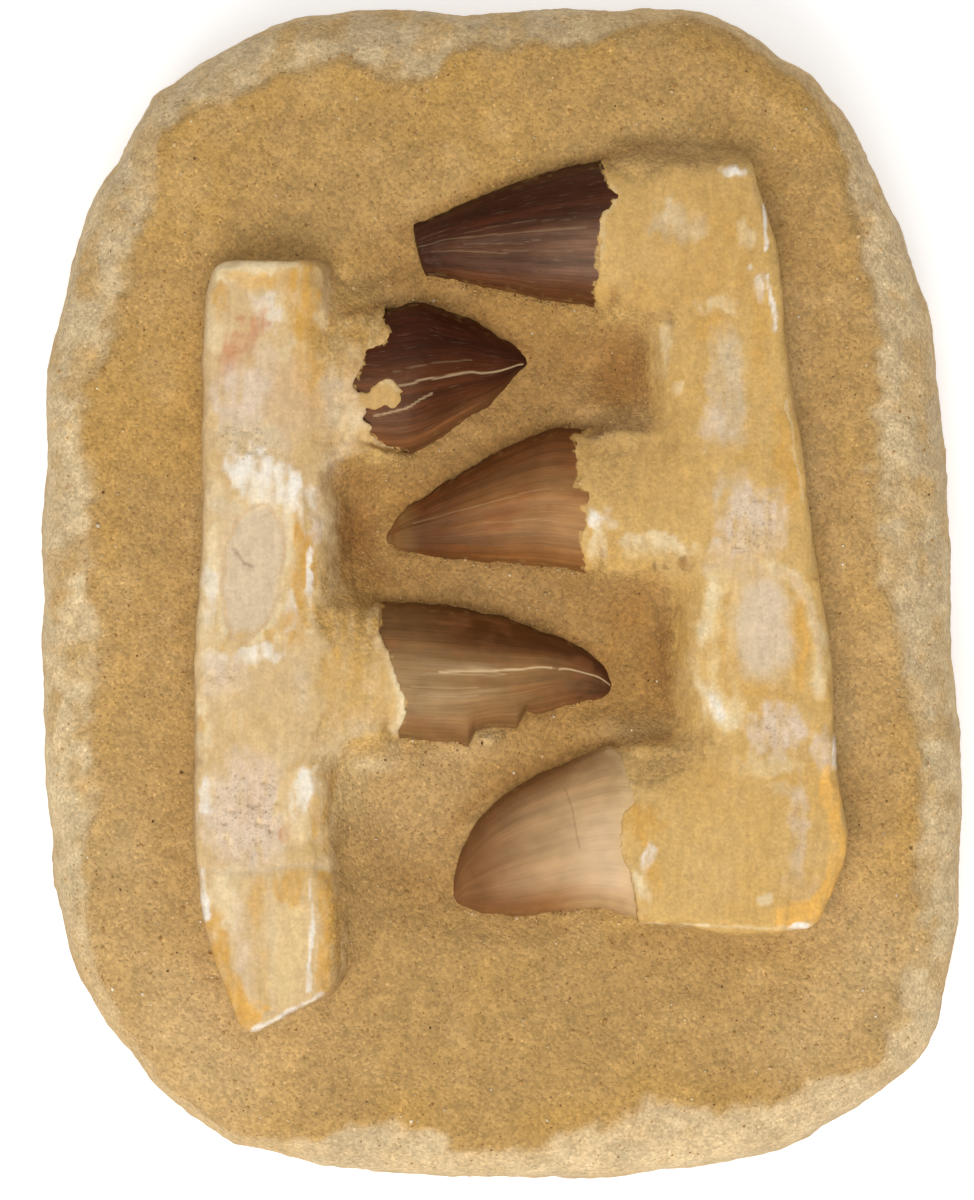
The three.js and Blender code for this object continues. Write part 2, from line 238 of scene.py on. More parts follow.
# Crowns: pairs of spots on the upper and the lower edge from inside the root to the tip, with the height of
# the middle line, the root's inner end, and the line [v, u] where the root laps over the enamel. A root with a
# sill stands square on its lower side, that far from its middle.
TEETH = {
    "tooth_1": {
        "jaw": RIGHT, "z": 30.2, "root": (40, 65.5), "root_half": 14.0, "lip": 0.45, "keel": 0.45, "blunt": 0.28,
        "upper": [(640, 152), (603, 160), (560, 169.5), (520, 181.5), (480, 196.5), (446, 211), (414.5, 225)],
        "lower": [(640, 316), (600, 309), (556, 302.5), (516, 295), (476, 287), (444, 278), (427, 276)],
        "edge": [(140, 598), (161, 600.5), (171, 603.6), (184, 606.6), (196.6, 614.3), (212, 603.6), (226, 596), (238, 599), (278, 597.5), (287, 593), (308, 596), (330, 597)],
    },
    "tooth_2": {
        "jaw": LEFT, "z": 29.6, "root": (-40, 36.5), "root_half": 13.0, "lip": 0.12, "keel": 0.2,
        "upper": [(335, 318), (372, 310), (402, 304.5), (426, 302.5), (447, 310), (470, 320), (492, 332), (511, 342.5), (524, 353), (532, 361.5)],
        "lower": [(335, 448), (374, 455), (402, 456), (420, 450), (444, 435), (468, 419), (488, 405.5), (504, 390), (516, 374.5), (529, 367)],
        "edge": [(300, 386), (318, 383.5), (333, 390.5), (343, 387), (350, 367), (358, 366), (377, 355.5), (387, 352.6), (394, 361), (412, 367), (420, 362), (425, 373), (433, 369.5), (441, 380.7), (449, 400), (453, 413), (460, 420)],
    },
    "tooth_3": {
        "jaw": RIGHT, "z": 29.8, "root": (44, 16.8), "root_half": 14.5, "lip": 0.3, "keel": 0.4,
        "upper": [(630, 428), (587, 428), (550, 429.5), (510, 445), (475, 464), (445, 482), (420, 498.5), (403, 510.5), (390, 528)],
        "lower": [(630, 578), (585, 573), (546, 567), (508, 563), (474, 560.5), (443, 558.3), (418, 554.5), (402, 551), (390.5, 543)],
        "edge": [(415, 592), (429, 587), (437, 573), (456, 575), (468, 580), (475, 581.8), (484, 575), (492.5, 583.5), (511, 583.5), (525, 585.3), (542, 578.4), (558, 583.5), (572, 584.4), (590, 585)],
    },
    "tooth_4": {
        "jaw": LEFT, "z": 29.8, "root": (-42, -15.5), "root_half": 14.0, "lip": 0.4, "keel": 0.35,
        "upper": [(340, 604), (380, 603), (415, 603.5), (450, 606.5), (485, 613), (520, 622.5), (550, 632), (575, 643), (592, 655), (604, 667), (611, 680)],
        "lower": [(345, 738), (392, 738), (425, 741), (455, 741), (485, 735), (518, 725), (548, 711), (573, 704), (590, 701), (603, 699), (611, 693)],
        "brim": [(392, 738), (419, 740), (455, 742), (463, 744.5), (468, 746), (471.5, 739), (475, 732), (485, 729), (496, 728.5), (517, 729), (521, 721), (526, 711.5), (532, 714), (539, 713), (556, 708.5), (574, 704)],
        "edge": [(590, 379), (606, 379.6), (634.6, 379.6), (650.7, 388.6), (668.6, 393.9), (690, 402.9), (711.4, 406.4), (731, 399.3), (745, 402)],
    },
    "tooth_5": {
        "jaw": RIGHT, "z": 29.8, "root": (48, -45.4), "root_half": 16.4, "lip": 0.12, "keel": 0.0, "sill": 17.2,
        "upper": [(690, 738), (640, 741), (608, 745), (578, 757), (545, 771), (515, 787), (490, 807), (471, 832), (459, 856), (453.5, 884), (453.5, 901)],
        "lower": [(690, 925), (640, 919), (612, 911), (580, 908), (550, 913), (522, 915.5), (500, 915), (482, 912.5), (468, 908), (458.5, 905), (455, 903)],
        "edge": [(730, 606), (746, 608.6), (758.7, 621.3), (777.8, 626), (801.7, 632.5), (816, 621.3), (841.6, 619.7), (856, 621.3), (868.7, 629.3), (883, 631), (897.4, 635.7), (921, 637.3), (940, 637)],
    },
}
FLATTEN = 0.68  # crown thickness over its width


def crown_axis(t, n):
    """n stations from the base inside the root to the tip: middle, half width, across, height of the middle."""
    up = np.array([spot(u, v, 30) for u, v in t["upper"]])
    low = np.array([spot(u, v, 30) for u, v in t["lower"]])

    def curve(p):
        q = np.vstack([2 * p[0] - p[1], p, 2 * p[-1] - p[-2]])
        k = np.linspace(0, len(p) - 1, 24 * len(p))
        i = np.clip(k.astype(int), 0, len(p) - 2)
        f = (k - i)[:, None]
        a, b, c, d = q[i], q[i + 1], q[i + 2], q[i + 3]
        return 0.5 * (2 * b + (c - a) * f + (2 * a - 5 * b + 4 * c - d) * f**2 + (3 * b - a - 3 * c + d) * f**3)

    up, low = curve(up), curve(low)
    mid = (up + low) / 2
    run = np.concatenate([[0], np.cumsum(np.hypot(*np.diff(mid, axis=0).T))])
    even = np.linspace(0, run[-1], n)
    up, low = (np.stack([np.interp(even, run, e[:, j]) for j in (0, 1)], 1) for e in (up, low))
    mid = (up + low) / 2
    half = np.hypot(*(up - low).T) / 2
    across = (up - low) / (2 * half[:, None])
    s = even / run[-1]
    return mid, half, across, t["z"] - 1.5 * np.clip((s - 0.25) / 0.75, 0, 1) ** 2, s, run[-1]


AXES = {name: crown_axis(t, 60) for name, t in TEETH.items()}


def crown_reach(name, x, y):
    """Distance outside the crown's outline seen from above (negative inside), and the middle's height there."""
    mid, half, _, high, _, _ = AXES[name]
    best = np.full(np.shape(x), 1e9)
    level = np.zeros(np.shape(x))
    for k in range(0, len(mid), 2):
        d = np.hypot(x - mid[k, 0], y - mid[k, 1]) - half[k]
        near = d < best
        best = np.where(near, d, best)
        level = np.where(near, high[k], level)
    return best, level


def strip_plan(jaw, x, y):
    """Distance outside the jaw strip's top outline: to its inner wall, to its outer wall, past its ends."""
    wave = 0.35 * noise(0, y, 3.1, 9, 41) + 0.2 * noise(0, y, 7.7, 3.1, 42)
    inner = along(jaw["inner"], y) - jaw["side"] * wave
    outer = along(jaw["outer"], y) + jaw["side"] * wave
    to_inner = (inner - x) * jaw["side"]
    to_outer = (x - outer) * jaw["side"]
    past = np.maximum(y - jaw["ends"][0], jaw["ends"][1] - y) + 0.3 * noise(x, 0, 1.3, 5, 43)
    if jaw["cut"] is not None:
        (ax, ay), (bx, by) = jaw["cut"]
        l = math.hypot(bx - ax, by - ay)
        past = np.maximum(past, ((x - ax) * (by - ay) - (y - ay) * (bx - ax)) / l)
    return to_inner, to_outer, past


def root_local(t, x, y):
    """Place along the root (towards the tip is positive) and across it, and the root's length."""
    base = (np.array(t["upper_base"]) + np.array(t["lower_base"])) / 2
    run = np.array(t["root"], float) - base
    length = math.hypot(*run)
    run /= length
    tau = -((x - base[0]) * run[0] + (y - base[1]) * run[1])
    across = -(x - base[0]) * run[1] + (y - base[1]) * run[0]
    return tau, across, length


for t in TEETH.values():
    t["upper_base"], t["lower_base"] = spot(*t["upper"][1], 30), spot(*t["lower"][1], 30)
    t["half"] = math.hypot(*(t["upper_base"] - t["lower_base"])) / 2


def lap_line(name, x, y):
    """Distance in front of the line where the root laps over the enamel."""
    t = TEETH[name]
    u, v = seen(x, y, 38.0)
    ed = np.array(t["edge"])
    v2 = v + 1.6 * noise(u, v, 0, 7, 71)
    return (np.interp(v2, ed[:, 0], ed[:, 1]) - u) * t["jaw"]["side"] * 0.1856 + 0.28 * noise(u, v, 0, 4.0, 72) + 0.14 * noise(u, v, 0, 2.4, 76)


def bank_plan(jaw, x, y):
    """Distance outside the jaw's plan with its roots, and how much the place lies on the inner side."""
    to_inner, to_outer, past = strip_plan(jaw, x, y)
    d = smax(to_inner, smax(to_outer, past, 2.0), 2.0)
    face = ramp(-np.maximum(to_outer, past), -1.0, 5.0) * np.interp(y, *np.array(jaw["bank"]).T)
    for name, t in TEETH.items():
        if t["jaw"] is not jaw:
            continue
        tau, across, length = root_local(t, x, y)
        lower = ramp(-across * jaw["side"], 3.0, 9.0) if "sill" in t else 0.0
        r = smax(np.abs(across) - mix(t["half"], t.get("sill", 0.0), lower), smax(lap_line(name, x, y) + 1.5, -tau - length, 2.0), 2.5)
        face = np.maximum(face * (1 - lower * (tau > -length)), 0.86 * (1 - ramp(r, 2.5, 8)) * (1 - lower))
        d = smin(d, r, 5.0)
    return d, face


# ---------------------------------------------------------------- sand surface
SAND = 31.0
BASIN = (2.0, 27.0, 4.0, 63.0, 11.0, 1.9)  # x, half x, y, half y, softness, depth
# Cups in the sand: x, y, radius x, radius y, depth in mm, strength of the painted shade in them.
CUPS = [(22.2, 41.2, 7.5, 9.0, 2.4, 0.95), (14.0, 45.0, 8.0, 7.0, 0.3, 0.72), (29.8, -12.5, 6.5, 11.5, 2.4, 0.85), (24.0, -4.5, 8, 7, 0.2, 0.78), (-27.2, 11.0, 5.6, 9.5, 3.2, 1.0), (-26.0, 21.0, 5, 4, 0.2, 0.75), (-24.0, 2.5, 5.5, 4, 0.2, 0.85), (-28.0, -56.0, 4.6, 20, 0.5, 0.2)]
# Sand that creeps over the edge of a crown: spot, radius across and down, height.
LOBES = [(488, 741, 11, 10, 2.6), (540, 722, 13, 8, 1.6), (470, 424, 12, 5, 0.8), (560, 914, 16, 4, 0.7), (405, 560, 12, 6, 0.5), (500, 297, 14, 4, 0.5)]


def sand_level(x, y):
    bx, hx, by, hy, soft, depth = BASIN
    edge = lambda d, half: 1 - ramp(np.abs(d) - half, -soft / 2, soft / 2)
    z = SAND - depth * edge(x - bx, hx) * edge(y - by, hy)
    for cx, cy, rx, ry, d, _ in CUPS:
        z = z - d * np.exp(-(((x - cx) / rx) ** 2) - ((y - cy) / ry) ** 2)
    z = z + 0.25 * np.sin(x * 0.11 + 1) * np.cos(y * 0.083) + 0.3 * fbm(x, y, 0, 24, 2, 7) + 0.14 * fbm(x, y, 0, 5, 2, 9)
    # banks of sand against the bones and roots, wide on the inner sides
    for jaw in (LEFT, RIGHT):
        d, face = bank_plan(jaw, x, y)
        d = d + 0.45 * noise(x, y, 4.0, 7.0, 27) + 0.1 * noise(x, y, 4.0, 2.4, 28)
        start, wide = mix(-0.8, -3.0, face), mix(2.2, np.interp(y, *np.array(jaw["foot"]).T), face)
        fall = 1 - (1 - np.clip((d - start) / (wide - start), 0, 1)) ** 1.45
        bank = mix(32.8, 38.8, face) - mix(3.2, 9.2, face) * fall - 0.8 * np.maximum(d - wide, 0)
        z = smax(z, bank, 1.4)
        z = z - 0.2 * np.exp(-(((d - 2.6) / 1.6) ** 2)) * (1 - face)
    # level with the middle line of each crown where they meet
    for name in TEETH:
        d, level = crown_reach(name, x, y)
        w = np.exp(-((np.maximum(d, 0) / 4.6) ** 2)) * ramp(lap_line(name, x, y), -4.5, 0.8)
        z = mix(z, level + 0.35 + 0.35 * noise(x, y, 2.2, 2.4, 23) + 0.25 * noise(x, y, 5.2, 1.2, 24), w * 0.92)
    for u, v, ru, rv, h in LOBES:
        cx, cy = spot(u, v, 30)
        z = z + h * np.exp(-(((x - cx) / (ru * 0.187)) ** 2) - ((y - cy) / (rv * 0.187)) ** 2)
    return z


RIM_PROFILE = [[0.0, 15.0], [0.06, 18.6], [0.16, 22.6], [0.3, 25.4], [0.52, 27.9], [0.78, 29.5], [1.0, 30.1]]


def surface(x, y):
    """Height of the slab's top, with how much of it is bare rim."""
    a = np.arctan2(y, x)
    inset = edge_radius(a) + knocks(a) - np.hypot(x, y)
    wide = rim_width(a) + 0.9 * noise(x, y, 0, 7.0, 31) + 0.5 * noise(x, y, 0, 2.6, 32)
    share = np.clip(inset / np.maximum(wide, 1.5), 0, 1.6)
    # a narrow rim still falls off over several millimetres
    fall = np.clip(inset / np.maximum(wide, 9.0), 0, 1.0)
    prof = np.array(RIM_PROFILE)
    z_rim = np.interp(fall, prof[:, 0], prof[:, 1])
    rough = 0.55 * fbm(x, y, 0, 6.0, 3, 51) + 0.35 * np.abs(noise(x + 0.6 * y, y - 0.4 * x, 0, 2.4, 52)) + 0.16 * noise(x, y, 0, 1.1, 53)
    z_rim = z_rim + (rough - 0.25) * ramp(inset, 0.0, 2.0)
    sand = sand_level(x, y)
    z_sand = np.minimum(sand, np.interp(fall, prof[:, 0], prof[:, 1] + 0.75) + np.where(fall >= 1, 5, 0))
    bare = 1 - ramp(share + 0.1 * fbm(x, y, 0, 3.4, 2, 33), 0.84, 1.1)
    z = mix(z_sand, np.minimum(z_rim, z_sand + 0.5), bare)
    return z, bare, inset, share


# ---------------------------------------------------------------------- meshing
def piece(name, co, faces, attrs, uv=None, smooth=True):
    """A mesh object from arrays: co in drawn millimetres, faces a list of index arrays of 3 or 4 columns."""
    me = bpy.data.meshes.new(name)
    co = (np.asarray(co, float) - MIDDLE) * MM
    loops = np.concatenate([f.ravel() for f in faces]).astype(np.int32)
    total = np.concatenate([np.full(len(f), f.shape[1], np.int32) for f in faces])
    start = np.concatenate([[0], np.cumsum(total)[:-1]]).astype(np.int32)
    me.vertices.add(len(co))
    me.vertices.foreach_set("co", co.astype(np.float32).ravel())
    me.loops.add(len(loops))
    me.loops.foreach_set("vertex_index", loops)
    me.polygons.add(len(total))
    me.polygons.foreach_set("loop_start", start)
    me.polygons.foreach_set("loop_total", total)
    me.update(calc_edges=True)
    me.polygons.foreach_set("use_smooth", np.full(len(total), smooth))
    for key, values in attrs.items():
        values = np.asarray(values, np.float32)
        if values.ndim == 2:
            made = me.attributes.new(key, "FLOAT_COLOR", "POINT")
            made.data.foreach_set("color", np.hstack([values, np.ones((len(values), 1), np.float32)]).ravel())
        else:
            made = me.attributes.new(key, "FLOAT", "POINT")
            made.data.foreach_set("value", values)
    if uv is not None:
        layer = me.uv_layers.new(name="OFBake")
        layer.data.foreach_set("uv", np.asarray(uv, np.float32).ravel())
    ob = bpy.data.objects.new(name, me)
    bpy.context.scene.collection.objects.link(ob)
    return ob


def vertex_normals(co, quads):
    n = np.zeros_like(co)
    a, b, c, d = (co[quads[:, k]] for k in range(4))
    f = np.cross(c - a, d - b)
    for k in range(4):
        np.add.at(n, quads[:, k], f)
    return n / np.maximum(np.linalg.norm(n, axis=1, keepdims=True), 1e-9)


def surface_net(f, low, h):
    """Quads on the zero level of a field sampled on a grid, negative inside."""
    inside = f < 0
    nx, ny, nz = f.shape
    count = np.zeros((nx - 1, ny - 1, nz - 1), np.int8)
    for i in (0, 1):
        for j in (0, 1):
            for k in (0, 1):
                count += inside[i : nx - 1 + i, j : ny - 1 + j, k : nz - 1 + k]
    cells = np.argwhere((count > 0) & (count < 8))
    index = np.full(count.shape, -1, np.int32)
    index[tuple(cells.T)] = np.arange(len(cells))
    total = np.zeros((len(cells), 3))
    hits = np.zeros(len(cells))
    corners = [(i, j, k) for i in (0, 1) for j in (0, 1) for k in (0, 1)]
    for a in corners:
        for axis in range(3):
            if a[axis]:
                continue
            b = list(a)
            b[axis] = 1
            fa = f[tuple((cells + a).T)]
            fb = f[tuple((cells + b).T)]
            cross = (fa < 0) != (fb < 0)
            t = np.where(cross, fa / np.where(cross, fa - fb, 1), 0)
            p = np.repeat(np.array([a], float), len(cells), 0)
            p[:, axis] = t
            total += np.where(cross[:, None], p, 0)
            hits += cross
    co = (cells + total / hits[:, None]) * h + low
    quads = []
    for axis in range(3):
        o1, o2 = [(1, 2), (2, 0), (0, 1)][axis]
        lo = [slice(None)] * 3
        hi = [slice(None)] * 3
        lo[axis], hi[axis] = slice(0, -1), slice(1, None)
        change = np.argwhere(inside[tuple(lo)] != inside[tuple(hi)])
        ok = (change[:, o1] > 0) & (change[:, o2] > 0) & (change[:, o1] < f.shape[o1] - 1) & (change[:, o2] < f.shape[o2] - 1)
        change = change[ok]
        flip = inside[tuple(change.T)]
        ring = []
        for d1, d2 in ((0, 0), (-1, 0), (-1, -1), (0, -1)):
            c = change.copy()
            c[:, o1] += d1
            c[:, o2] += d2
            ring.append(index[tuple(c.T)])
        ring = np.stack(ring, 1)
        quads.append(np.where(flip[:, None], ring, ring[:, ::-1]))
    return co, np.concatenate(quads)


# --------------------------------------------------------------- stains, chips and some painted shade
# Marks on the bones, in spots: u, v, half width, half height, turn in degrees, pigment, strength, softness, lift in mm.
LEFT_MARKS = [
    (352, 624, 36, 32, 0, "sand_gold", 0.95, 0.5, 0), (350, 604, 36, 12, 0, "sand", 0.8, 0.6, 0), (345, 770, 30, 20, 0, "sand_pale", 0.8, 0.6, 0),
    (228, 276, 24, 14, 0, "cream", 0.8, 0.5, 0.1), (255, 270, 38, 9, 0, "cream", 0.95, 0.5, 0),
    (302, 300, 20, 46, 0, "gold", 0.95, 0.4, 0), (309, 352, 15, 52, 0, "gold", 0.85, 0.45, 0), (250, 276, 24, 12, 0, "orange", 0.6, 0.6, 0),
    (276, 277, 14, 14, 0, "gold", 0.65, 0.5, 0), (219, 302, 8, 17, 0, "gold", 0.8, 0.45, 0), (210, 330, 6, 22, 0, "cream", 0.7, 0.5, 0),
    (267, 312, 15, 17, 0, "white", 0.7, 0.5, 0.12), (222, 340, 9, 14, 0, "cream", 0.5, 0.6, 0),
    (240, 335, 30, 52, 8, "tan", 0.5, 0.7, 0), (248, 323, 17, 11, 15, "stain", 0.95, 0.7, -0.06), (238, 342, 12, 11, 15, "stain", 0.9, 0.7, -0.06), (230, 360, 12, 15, 24, "stain", 0.95, 0.7, -0.06),
    (252, 352, 10, 14, 0, "stain", 0.4, 0.8, 0), (226, 380, 10, 11, 0, "stain", 0.65, 0.5, 0), (259, 331, 6, 6, 0, "stain", 0.9, 0.5, 0),
    (240, 398, 32, 30, 0, "lilac", 0.95, 0.6, 0), (268, 362, 14, 22, 0, "lilac", 0.5, 0.6, 0), (288, 405, 22, 46, 0, "clay", 0.85, 0.6, 0), (245, 440, 46, 18, 0, "grey", 0.75, 0.6, -0.05),
    (269, 481, 39, 25, 18, "white", 0.97, 0.3, 0.25), (297, 515, 12, 36, -6, "white", 0.92, 0.4, 0.2), (241, 468, 18, 14, 0, "white", 0.6, 0.6, 0.1),
    (252, 573, 46, 86, 8, "cream", 0.85, 0.4, 0.15), (214, 560, 8, 40, 4, "cream", 0.7, 0.5, 0), (232, 508, 16, 10, -30, "grey", 0.6, 0.6, 0),
    (226, 535, 8, 26, 10, "clay", 0.55, 0.6, 0), (213, 628, 7, 30, 0, "ochre", 0.6, 0.6, 0), (208, 590, 6, 30, 0, "white", 0.6, 0.6, 0),
    (300, 546, 10, 36, 2, "gold", 0.98, 0.45, -0.1), (305, 588, 12, 40, 2, "gold", 0.95, 0.45, -0.1), (285, 545, 6, 30, 4, "cream", 0.7, 0.5, 0.1),
    (252, 571, 31, 70, 11, "socket", 0.97, 0.1, -0.25), (252, 571, 22, 58, 11, "grey", 0.35, 0.5, 0),
    (289.5, 614, 5.5, 32, 8, "white", 0.85, 0.4, 0.12), (279, 624, 6, 20, 22, "gold", 0.6, 0.45, 0), (311, 583, 2.6, 22, 0, "white", 0.9, 0.4, 0.15),
    (321, 526, 6, 20, 0, "lilac", 0.9, 0.5, 0), (314, 500, 7, 20, 0, "white", 0.6, 0.6, 0),
    (228, 646, 22, 13, 0, "ochre", 0.75, 0.5, 0), (262, 655, 22, 8, 0, "white", 0.75, 0.5, 0.1), (290, 632, 14, 17, 0, "gold", 0.6, 0.5, 0), (215, 651, 9, 10, 0, "white", 0.6, 0.6, 0),
    (226, 677, 24, 20, 0, "lilac", 0.85, 0.5, 0), (264, 716, 48, 44, 0, "tan", 0.85, 0.6, 0), (250, 730, 34, 26, 0, "ochre", 0.3, 0.7, 0), (303, 688, 11, 28, 0, "grey", 0.6, 0.5, 0),
    (203, 735, 8, 26, 0, "cream", 0.8, 0.4, 0.15), (202, 728, 5, 10, 0, "gold", 0.6, 0.4, 0),
    (248, 815, 42, 58, 0, "lilac", 0.92, 0.4, -0.1), (255, 790, 16, 30, 0, "stain", 0.12, 0.7, 0), (205, 797, 7, 13, 0, "white", 0.9, 0.35, 0.25),
    (298, 800, 20, 43, 8, "cream", 0.9, 0.16, 0.3), (303, 790, 9, 32, 10, "white", 0.9, 0.25, 0.3), (287, 790, 6, 30, 12, "gold", 0.45, 0.5, 0), (313, 812, 5, 26, 0, "gold", 0.7, 0.4, 0),
    (286, 832, 7, 10, -20, "stain", 0.9, 0.4, -0.15), (310, 855, 16, 12, 0, "ochre", 0.6, 0.5, 0),
    (262, 948, 64, 80, 0, "tan", 0.95, 0.12, 0.1), (222, 905, 16, 34, 4, "cream", 0.8, 0.5, 0.05), (288, 945, 22, 58, 2, "butter", 0.75, 0.6, 0),
    (244, 962, 8, 52, -4, "lilac", 0.55, 0.6, -0.08), (272, 950, 5, 64, 0, "grey", 0.35, 0.6, -0.1), (283, 930, 4, 40, 0, "clay", 0.5, 0.6, -0.08),
    (258, 908, 7, 36, 0, "gold", 0.5, 0.6, 0), (292, 884, 15, 15, 0, "gold", 0.75, 0.5, 0), (262, 985, 6, 26, 0, "ochre", 0.5, 0.6, 0), (285, 985, 12, 22, 0, "butter", 0.7, 0.6, 0),
    (248, 1012, 20, 13, 30, "orange", 0.92, 0.4, 0),
    (345, 408, 24, 66, 0, "clay", 0.95, 0.5, 0), (334, 392, 9, 34, 0, "grey", 0.8, 0.6, 0.05), (348, 424, 13, 20, 0, "cream", 0.65, 0.6, 0.08), (340, 458, 10, 12, 0, "grey", 0.7, 0.6, 0), (348, 346, 36, 28, 0, "sand_gold", 0.85, 0.5, 0), (362, 326, 26, 20, 0, "sand_gold", 0.9, 0.5, 0),
    (250, 267, 38, 7, 0, "cream", 0.9, 0.5, 0), (330, 586, 12, 22, 0, "sand", 0.85, 0.5, 0),
    # the darker sand patch beside the bone at spot (345, 480) is painted shade in the cup
    (345, 480, 22, 18, 0, "sand_shaded", 0.6, 0.6, 0), (372, 446, 18, 10, 20, "ochre", 0.7, 0.6, 0),
    (360, 688, 46, 42, 0, "ochre", 0.9, 0.5, 0), (336, 930, 8, 66, 0, "sand_gold", 0.9, 0.4, 0), (329, 818, 8, 44, 0, "sand_gold", 0.85, 0.4, 0), (350, 668, 22, 18, 0, "gold", 0.5, 0.6, 0), (366, 731, 15, 10, 0, "grey", 0.7, 0.5, 0), (361, 774, 21, 9, -30, "cream", 0.7, 0.5, 0.05),
]
RIGHT_MARKS = [
    (700, 245, 66, 84, 0, "honey", 0.75, 0.6, 0), (630, 465, 66, 50, 0, "honey", 0.9, 0.6, 0), (690, 370, 16, 60, 0, "honey", 0.6, 0.6, 0), (700, 650, 22, 80, 0, "honey", 0.5, 0.6, 0),
    (668, 158, 74, 15, -2, "sand", 0.95, 0.4, 0), (640, 190, 30, 30, 0, "ochre", 0.4, 0.6, 0), (735, 171, 12, 6, 8, "white", 0.9, 0.45, 0.3),
    (678, 222, 27, 21, 10, "grey", 0.6, 0.6, 0), (672, 212, 10, 12, 0, "cream", 0.4, 0.6, 0), (694, 236, 10, 7, 20, "cream", 0.5, 0.5, 0), (720, 250, 46, 44, 0, "gold", 0.3, 0.7, 0),
    (745, 236, 7, 13, 0, "cream", 0.55, 0.5, 0), (755, 264, 4, 5, 0, "white", 0.9, 0.4, 0.1), (762, 285, 6, 12, 0, "white", 0.6, 0.5, 0.1),
    (718, 308, 16, 8, 0, "cream", 0.6, 0.5, 0), (716, 326, 16, 10, 0, "gold", 0.5, 0.5, 0), (727, 386, 16, 56, -3, "grey", 0.8, 0.55, 0), (716, 424, 14, 20, 0, "lilac", 0.55, 0.6, 0),
    (788, 455, 11, 52, -6, "gold", 0.85, 0.5, 0), (800, 480, 6, 30, -6, "orange", 0.6, 0.5, 0), (762, 335, 12, 44, -4, "gold", 0.5, 0.6, 0), (690, 380, 10, 40, 0, "ochre", 0.6, 0.6, 0),
    (666, 344, 5, 22, 0, "cream", 0.5, 0.5, 0.05), (680, 385, 8, 6, 0, "cream", 0.5, 0.5, 0),
    (755, 524, 33, 42, -8, "lilac", 0.92, 0.4, -0.1), (735, 490, 16, 16, 0, "grey", 0.5, 0.6, 0), (726, 562, 24, 22, 0, "lilac", 0.75, 0.5, 0), (808, 540, 12, 44, -6, "ochre", 0.8, 0.5, 0),
    (630, 490, 50, 36, 0, "ochre", 0.5, 0.6, 0), (602, 472, 24, 30, 0, "sand", 0.5, 0.6, 0), (600, 522, 10, 8, 0, "white", 0.85, 0.6, 0.12), (614, 529, 9, 6, 10, "cream", 0.9, 0.6, 0.1), (598, 546, 9, 14, 0, "cream", 0.7, 0.7, 0), (660, 547, 34, 10, 4, "cream", 0.5, 0.7, 0), (629, 541, 13, 5, 5, "cream", 0.8, 0.6, 0.08), (653, 538, 11, 6, 0, "cream", 0.75, 0.6, 0.08), (673, 545, 14, 7, 12, "cream", 0.85, 0.6, 0.12), (694, 551, 10, 7, 10, "cream", 0.75, 0.6, 0.1), (641, 552, 12, 4, 0, "butter", 0.7, 0.7, 0), (620, 566, 30, 10, 0, "gold", 0.4, 0.6, 0),
    # dark pits and a darker patch below the pale streak: shallow pits in the relief with painted shadow in them
    (655, 565, 2.6, 4.5, 10, "dark", 0.8, 0.6, -1.2), (666, 567, 2.6, 5, -15, "dark", 0.8, 0.6, -1.2), (684, 562, 12, 6, -30, "sand_shaded", 0.7, 0.5, -0.4),
    (765, 632, 62, 82, 0, "ochre", 0.8, 0.3, 0), (730, 640, 12, 60, 3, "gold", 0.75, 0.5, -0.1), (798, 628, 10, 52, -4, "gold", 0.75, 0.5, -0.1),
    (762, 626, 30, 55, -4, "socket", 0.95, 0.3, -0.2), (765, 615, 18, 40, -4, "lilac", 0.4, 0.5, 0),
    (767, 692, 26, 10, 0, "gold", 0.5, 0.4, 0), (735, 708, 16, 8, 30, "cream", 0.6, 0.5, 0), (778, 729, 29, 25, 0, "lilac", 0.92, 0.35, -0.1), (823, 752, 10, 21, 0, "lilac", 0.85, 0.4, 0.1),
    (810, 705, 8, 24, 0, "ochre", 0.6, 0.5, 0), (730, 845, 106, 92, 0, "ochre", 0.55, 0.5, 0), (770, 764, 30, 11, 0, "cream", 0.45, 0.6, 0), (700, 780, 40, 30, 0, "gold", 0.3, 0.7, 0),
    (799, 826, 9, 50, 0, "lilac", 0.65, 0.5, 0), (785, 790, 16, 10, 0, "grey", 0.4, 0.6, 0), (770, 860, 40, 40, 0, "ochre", 0.3, 0.6, 0), (802, 884, 14, 16, 0, "clay", 0.6, 0.6, 0),
    (793, 913, 28, 12, 0, "orange", 0.9, 0.4, 0), (765, 900, 12, 5, 0, "cream", 0.7, 0.5, 0), (803, 926, 13, 4, 0, "white", 1.0, 0.22, 0.35),
    (642, 826, 20, 20, 0, "gold", 0.85, 0.5, 0.05), (649, 855, 6.5, 14, 8, "white", 0.92, 0.3, 0.25), (644, 888, 9, 15, -16, "cream", 0.85, 0.4, 0.15), (655, 875, 10, 20, 0, "gold", 0.7, 0.5, 0),
    (662, 764, 46, 16, -14, "sand", 0.9, 0.5, 0), (690, 745, 30, 14, -10, "sand", 0.6, 0.6, 0), (640, 318, 44, 10, -4, "sand", 0.8, 0.6, 0),
]
